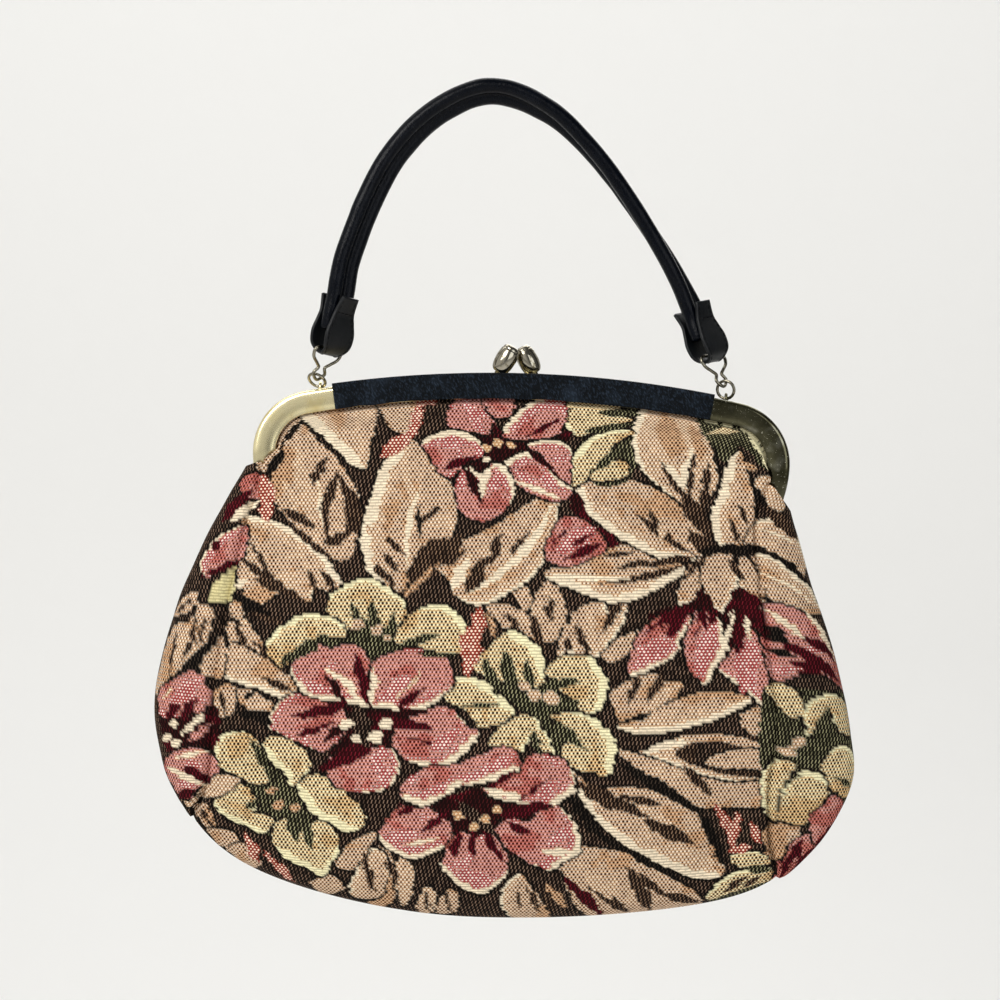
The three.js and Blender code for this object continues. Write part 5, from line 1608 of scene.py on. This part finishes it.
def make_frame(brass):
    front = frame_half(-1)
    back = joined(frame_half(1), eye_wire(-1), eye_wire(1))
    add_mesh("frame_half_front", *front, brass, "frame_brass", "frame_front")
    add_mesh("frame_half_back", *back, brass, "frame_brass", "frame_back")
    shank = HALVES_GAP / 2 + CHANNEL_WALL + FIT
    head = shank + CHANNEL_WALL
    half = [(RIVET_RADIUS, 0), (RIVET_RADIUS, shank), (RIVET_HEAD, shank), (RIVET_HEAD, shank + RIVET_BAND)]
    half += [(RIVET_HEAD * RIVET_CROWN, head - RIVET_CROWN_DROP), (POLE, head)]
    profile = [(r, -y) for r, y in half[:0:-1]] + half
    lying = np.array(Matrix.Rotation(math.pi / 2, 3, "X"))
    for name, side in (("left", -1), ("right", 1)):
        at = arch_points(side * (FRAME_RUN - HINGE_RISE), HINGE_INSET, 0.0)
        rivet = placed(turned(profile, RIVET_SIDES), lying, at)
        add_mesh("hinge_rivet_" + name + "_turned", *rivet, brass, "frame_brass", "hinge_rivet_" + name)


COVER_ROUND = 0.8  # radius of the strip's edges
COVER_STEPS = 161
COVER_SWELL = 0.25  # unevenness of its face and of its lower edge, with the size of each
COVER_SWELL_SIZE = 9.0
COVER_WAVE = 0.22
COVER_WAVE_SIZE = 7.0
COVER_SEED = 21


def make_rail_cover(name, sign, leather):
    """The leather strip over a channel's face and top edge, slightly padded and uneven."""
    inner = CHANNEL_DEPTH + FIT
    outer = inner + COVER_THICKNESS
    top = -FIT - COVER_THICKNESS
    fold = outer - COVER_TOP_DEPTH
    corners = [(top, outer), (top, fold), (-FIT, fold), (-FIT, inner)]
    corners += [(CHANNEL_FACE, inner), (CHANNEL_FACE, outer)]
    outline = rounded(corners, COVER_ROUND, steps=5)
    if sign > 0:
        outline = outline[::-1]
    inset, depth = outline[:, 0], outline[:, 1]
    face = (depth > inner + COVER_THICKNESS / 2) & (inset > 0)
    lower = inset > CHANNEL_FACE / 2
    rings = []
    for run in np.linspace(-COVER_HALF_RUN, COVER_HALF_RUN, COVER_STEPS):
        along = np.full(len(outline), run)
        swell = COVER_SWELL * smooth_noise(along, inset, COVER_SWELL_SIZE, COVER_SEED) * face
        wave = COVER_WAVE * smooth_noise(along, np.zeros(len(outline)), COVER_WAVE_SIZE, COVER_SEED + 1)
        rings.append(arch_points(run, inset + wave * lower, sign * (depth + swell)))
    add_mesh("rail_strip_" + name, *sweep(rings), leather, "rail_leather", "rail_cover_" + name)


# Clasp, rings and links

BEAD_LENGTH = 12.6
BEAD_RADIUS = 4.5
BEAD_STEM = 1.2
BEAD_STEM_HEIGHT = 0.9
BEAD_START = 0.06  # the bead starts at the stem, this share of the way round from its pole
BEAD_TAPER = 0.05
BEAD_FULLNESS = 0.44  # 1 is an egg, and less is fuller at the ends
BEAD_SEAM = 0.84  # height of the groove where the bead's cap is pressed on
GROOVE_DEPTH = 0.3
GROOVE_WIDTH = 0.014
BEAD_STEPS = 49
BEAD_SIDES = 40
CLASPS = table(["name", "x", "y", "lean"], [["front", -11.3, -2.7, 30], ["back", 5.2, 2.7, -30]])


def make_clasp(row, plate):
    profile = [(POLE, 0.0), (BEAD_STEM, 0.0), (BEAD_STEM, BEAD_STEM_HEIGHT)]
    for angle in np.linspace(BEAD_START * math.pi, math.pi, BEAD_STEPS):
        height = (1 - math.cos(angle)) / 2
        radius = BEAD_RADIUS * math.sin(angle) ** BEAD_FULLNESS * (1 - BEAD_TAPER * (1 - height))
        groove = GROOVE_DEPTH * math.exp(-(((height - BEAD_SEAM) / GROOVE_WIDTH) ** 2))
        profile.append((max(radius - groove, POLE), BEAD_STEM_HEIGHT + BEAD_LENGTH * height))
    run = RAIL_RADIUS * math.asin(row["x"] / RAIL_RADIUS)
    lift = FIT + BEAD_STEM * math.sin(abs(math.radians(row["lean"])))
    bead = placed(turned(profile, BEAD_SIDES), about_y(row["lean"]), arch_points(run, -lift, row["y"]))
    name = "clasp_bead_" + row["name"]
    add_mesh(name + "_turned", *bead, plate, "clasp_metal", name)


def basis(up, yaw):
    """Columns of a turn whose Z is up and whose X is near the yaw."""
    z = unit(np.asarray(up, float))
    x = np.array([math.cos(math.radians(yaw)), math.sin(math.radians(yaw)), 0.0])
    x = unit(x - z * np.dot(x, z))
    return np.stack([x, np.cross(z, x), z], axis=1)


def up_vector(x, y):
    return np.array([x, y, math.sqrt(1 - x**2 - y**2)])


LINK_LENGTH = LINK_ROWS[-1]["drop"]


def hanger_frames(row):
    """Places and turns of one side's ring, link and tab, as in the part."""
    turn = Matrix.Rotation(math.radians(row["ringTurn"]), 3, "Z")
    ring_turn = np.array(turn @ Matrix.Rotation(math.radians(row["ringLean"]), 3, "X"))
    foot = eye_point(row["side"]) + np.array([0, 0, RING_WIRE + FIT])
    ring_middle = foot + ring_turn[:, 2] * RING_RADIUS
    link_up = up_vector(row["linkX"], row["linkY"])
    axis = ring_turn[:, 1]
    pull = unit(link_up - axis * np.dot(link_up, axis))
    bar = ring_middle + pull * RING_RADIUS + link_up * (LINK_LENGTH - RING_WIRE - LINK_WIRE - LINK_SLACK)
    tab_up = up_vector(row["tabX"], row["tabY"])
    tab_middle = bar + tab_up * TAB_BAR_DROP
    return {
        "ring": (ring_turn, ring_middle),
        "link": (basis(link_up, TAB_YAW), bar),
        "tab": (basis(tab_up, TAB_YAW), tab_middle),
    }


RING_STEPS = 48
LINK_STEPS = 110
WIRE_SIDES = 12


def make_ring(row, frames, nickel):
    angles = np.linspace(0, 2 * math.pi, RING_STEPS, endpoint=False)
    circle = np.stack([np.cos(angles), 0 * angles, np.sin(angles)], axis=1) * RING_RADIUS
    ring = placed(wire(circle, RING_WIRE, WIRE_SIDES, True), *frames["ring"])
    add_mesh("ring_wire_" + row["name"], *ring, nickel, "wire_nickel", "ring_" + row["name"])
    right = [(r["halfWidth"], 0, -r["drop"]) for r in LINK_ROWS]
    left = [(-x, y, z) for x, y, z in right[-2:0:-1]]
    loop = closed_curve(right + left, LINK_STEPS)
    link = placed(wire(loop, LINK_WIRE, WIRE_SIDES, True), *frames["link"])
    add_mesh("link_wire_" + row["name"], *link, nickel, "wire_nickel", "handle_link_" + row["name"])


# Tabs and handle

TAB_EDGE = 0.55
TAB_STEPS = 70
STITCH_LENGTH = 1.5
STITCH_PITCH = 2.3
STITCH_INSET = 1.3
STITCH_WIRE = 0.22
STITCH_LIFT = 0.02  # a stitch's middle lies this far off the leather
STITCH_MARGIN = 2.0  # the rows of stitches start this far from a leaf's end
STITCH_STEPS = 4
STITCH_SIDES = 6
WAIST_RUN = 7.4  # a row of stitches crosses each leaf this far from its end; their dark thread also stands in as painted shade for the crease at the waist
WAIST_WIDTH = 2 * TAB_ROWS[5]["halfWidth"]


def tab_line(count):
    """Half width, gap and height down one leaf of a tab, round the fold and up the other."""
    first = [(row["halfWidth"], -row["halfGap"], row["height"]) for row in TAB_ROWS[::-1]]
    second = [(row["halfWidth"], row["halfGap"], row["height"]) for row in TAB_ROWS[1:]]
    return even_curve(first + second, count)


def make_tab(row, frames, leather, thread):
    line = tab_line(TAB_STEPS)
    tangent = unit(np.gradient(line[:, 1:], axis=0))
    normal = np.stack([-tangent[:, 1], tangent[:, 0]], axis=1)
    half = TAB_THICKNESS / 2
    rings = []
    for (width, y, z), (ny, nz) in zip(line, normal):
        corners = [(-width, -half), (width, -half), (width, half), (-width, half)]
        outline = rounded(corners, TAB_EDGE)
        rings.append([(u, y + ny * t, z + nz * t) for u, t in outline])
    tab = placed(sweep(rings), *frames["tab"])
    add_mesh("tab_leather_" + row["name"], *tab, leather, "tab_leather", "handle_tab_" + row["name"])
    run = np.concatenate([[0], np.cumsum(np.linalg.norm(np.diff(line, axis=0), axis=1))])
    out = -(half + STITCH_LIFT)

    def on_face(at, inset, edge):
        """A point on the tab's outer face, at a length along it and a distance in from one edge."""
        width, y, z = (np.interp(at, run, line[:, k]) for k in range(3))
        ny, nz = (np.interp(at, run, normal[:, k]) for k in range(2))
        return edge * (width - inset), y + ny * out, z + nz * out

    paths = []
    for start in np.arange(STITCH_MARGIN, run[-1] - STITCH_MARGIN, STITCH_PITCH):
        steps = np.linspace(start, start + STITCH_LENGTH, STITCH_STEPS)
        for edge in (-1, 1):
            paths.append([on_face(at, STITCH_INSET, edge) for at in steps])
    # The waist rows, whose dark thread also stands in as painted shade for the crease.
    for waist in (WAIST_RUN, run[-1] - WAIST_RUN):
        for inset in np.arange(STITCH_INSET, WAIST_WIDTH - STITCH_INSET, STITCH_PITCH):
            steps = np.linspace(inset, inset + STITCH_LENGTH, STITCH_STEPS)
            paths.append([on_face(waist, step, 1) for step in steps])
    stitches = [wire(path, STITCH_WIRE, STITCH_SIDES) for path in paths]
    seam = placed(joined(*stitches), *frames["tab"])
    add_mesh("tab_stitches_" + row["name"], *seam, thread, "tab_leather")


ROLL_WEB = 1.3  # half thickness of the web between the rolls
ROLL_OPEN = 140.0  # each roll shows this far round on both sides, in degrees
ROLL_STEPS = 25
HANDLE_STEPS = 181
HANDLE_LENGTH = 290.0  # about, along its middle
# Unevenness of the rolls: share of their size, size of the bumps, and how it counts round the handle
BUMP = 0.03
BUMP_SIZE = 7.0
BUMP_ROUND = 6
BUMP_SEED = 31


def rolls_outline():
    half = ROLL_SPACING / 2
    angles = np.radians(np.linspace(-ROLL_OPEN, ROLL_OPEN, ROLL_STEPS))
    right = np.stack([half + ROLL_RADIUS * np.cos(angles), ROLL_RADIUS * np.sin(angles)], axis=1)
    return np.concatenate([right, [(0, ROLL_WEB)], -right, [(0, -ROLL_WEB)]])


def make_handle(tabs, leather):
    """Two leather rolls side by side, twisted as they go from tab to tab."""
    def on_tab(tab, height):
        turn, origin = tab
        return turn[:, 2] * height + origin

    route = [on_tab(tabs[0], ROLL_END), on_tab(tabs[0], ROLL_NECK)]
    route += [np.array(point, float) for point in HANDLE_ROUTE]
    route += [on_tab(tabs[1], ROLL_NECK), on_tab(tabs[1], ROLL_END)]
    path = even_curve(route, HANDLE_STEPS)
    tangent = unit(np.gradient(path, axis=0))
    outward = unit(np.cross((0, -1, 0), tangent))
    facing = unit(np.cross(tangent, outward))
    ends = []
    for (turn, _), k in zip(tabs, (0, -1)):
        forward = -turn[:, 0]
        ends.append(math.degrees(math.atan2(np.dot(forward, outward[k]), np.dot(forward, facing[k]))))
    at = [0.0] + [row["at"] for row in HANDLE_TWIST] + [1.0]
    degrees = [ends[0]] + [row["degrees"] for row in HANDLE_TWIST] + [ends[1]]
    shares = np.linspace(0, 1, len(path))
    twist = np.radians(np.interp(shares, at, degrees))
    outline = rolls_outline()[::-1]
    around = BUMP_ROUND * np.arctan2(outline[:, 1], outline[:, 0])
    rings = []
    for k, point in enumerate(path):
        across = facing[k] * math.cos(twist[k]) + outward[k] * math.sin(twist[k])
        up = outward[k] * math.cos(twist[k]) - facing[k] * math.sin(twist[k])
        along = np.full(len(outline), HANDLE_LENGTH * shares[k])
        bumpy = 1 + BUMP * smooth_noise(along, around, BUMP_SIZE, BUMP_SEED)
        rings.append([point + across * p * b + up * q * b for (p, q), b in zip(outline, bumpy)])
    add_mesh("handle_rolls", *sweep(rings), leather, "handle_leather", "handle")


# Assembly

make_camera()
for row in LIGHTS:
    area_light(**row)
make_world()
make_stage()
bpy.context.scene.view_settings.view_transform = "Standard"

tapestry = tapestry_finish()
brass = brass_finish()
nickel, clasp_plate = (plated_finish(**row) for row in PLATES)
rail_leather, tab_leather, handle_leather, thread = (leather_finish(**row) for row in LEATHERS)

front = make_panel(
    "front_cloth", "front_panel", columns=316, rows=300, seed=1, material=tapestry, back=False
)
back = make_panel(
    "back_cloth", "back_panel", columns=220, rows=210, seed=11, material=tapestry, back=True
)
sides = [
    make_gusset("side_cloth_left", "gusset_left", -1, columns=76, rows=200, seed=3, material=tapestry),
    make_gusset("side_cloth_right", "gusset_right", 1, columns=76, rows=200, seed=7, material=tapestry),
]

make_frame(brass)
make_rail_cover("front", -1, rail_leather)
make_rail_cover("back", 1, rail_leather)
for row in CLASPS:
    make_clasp(row, clasp_plate)
hangers = [(row, hanger_frames(row)) for row in HANGERS]
for row, frames in hangers:
    make_ring(row, frames, nickel)
    make_tab(row, frames, tab_leather, thread)
make_handle([frames["tab"] for _, frames in hangers], handle_leather)
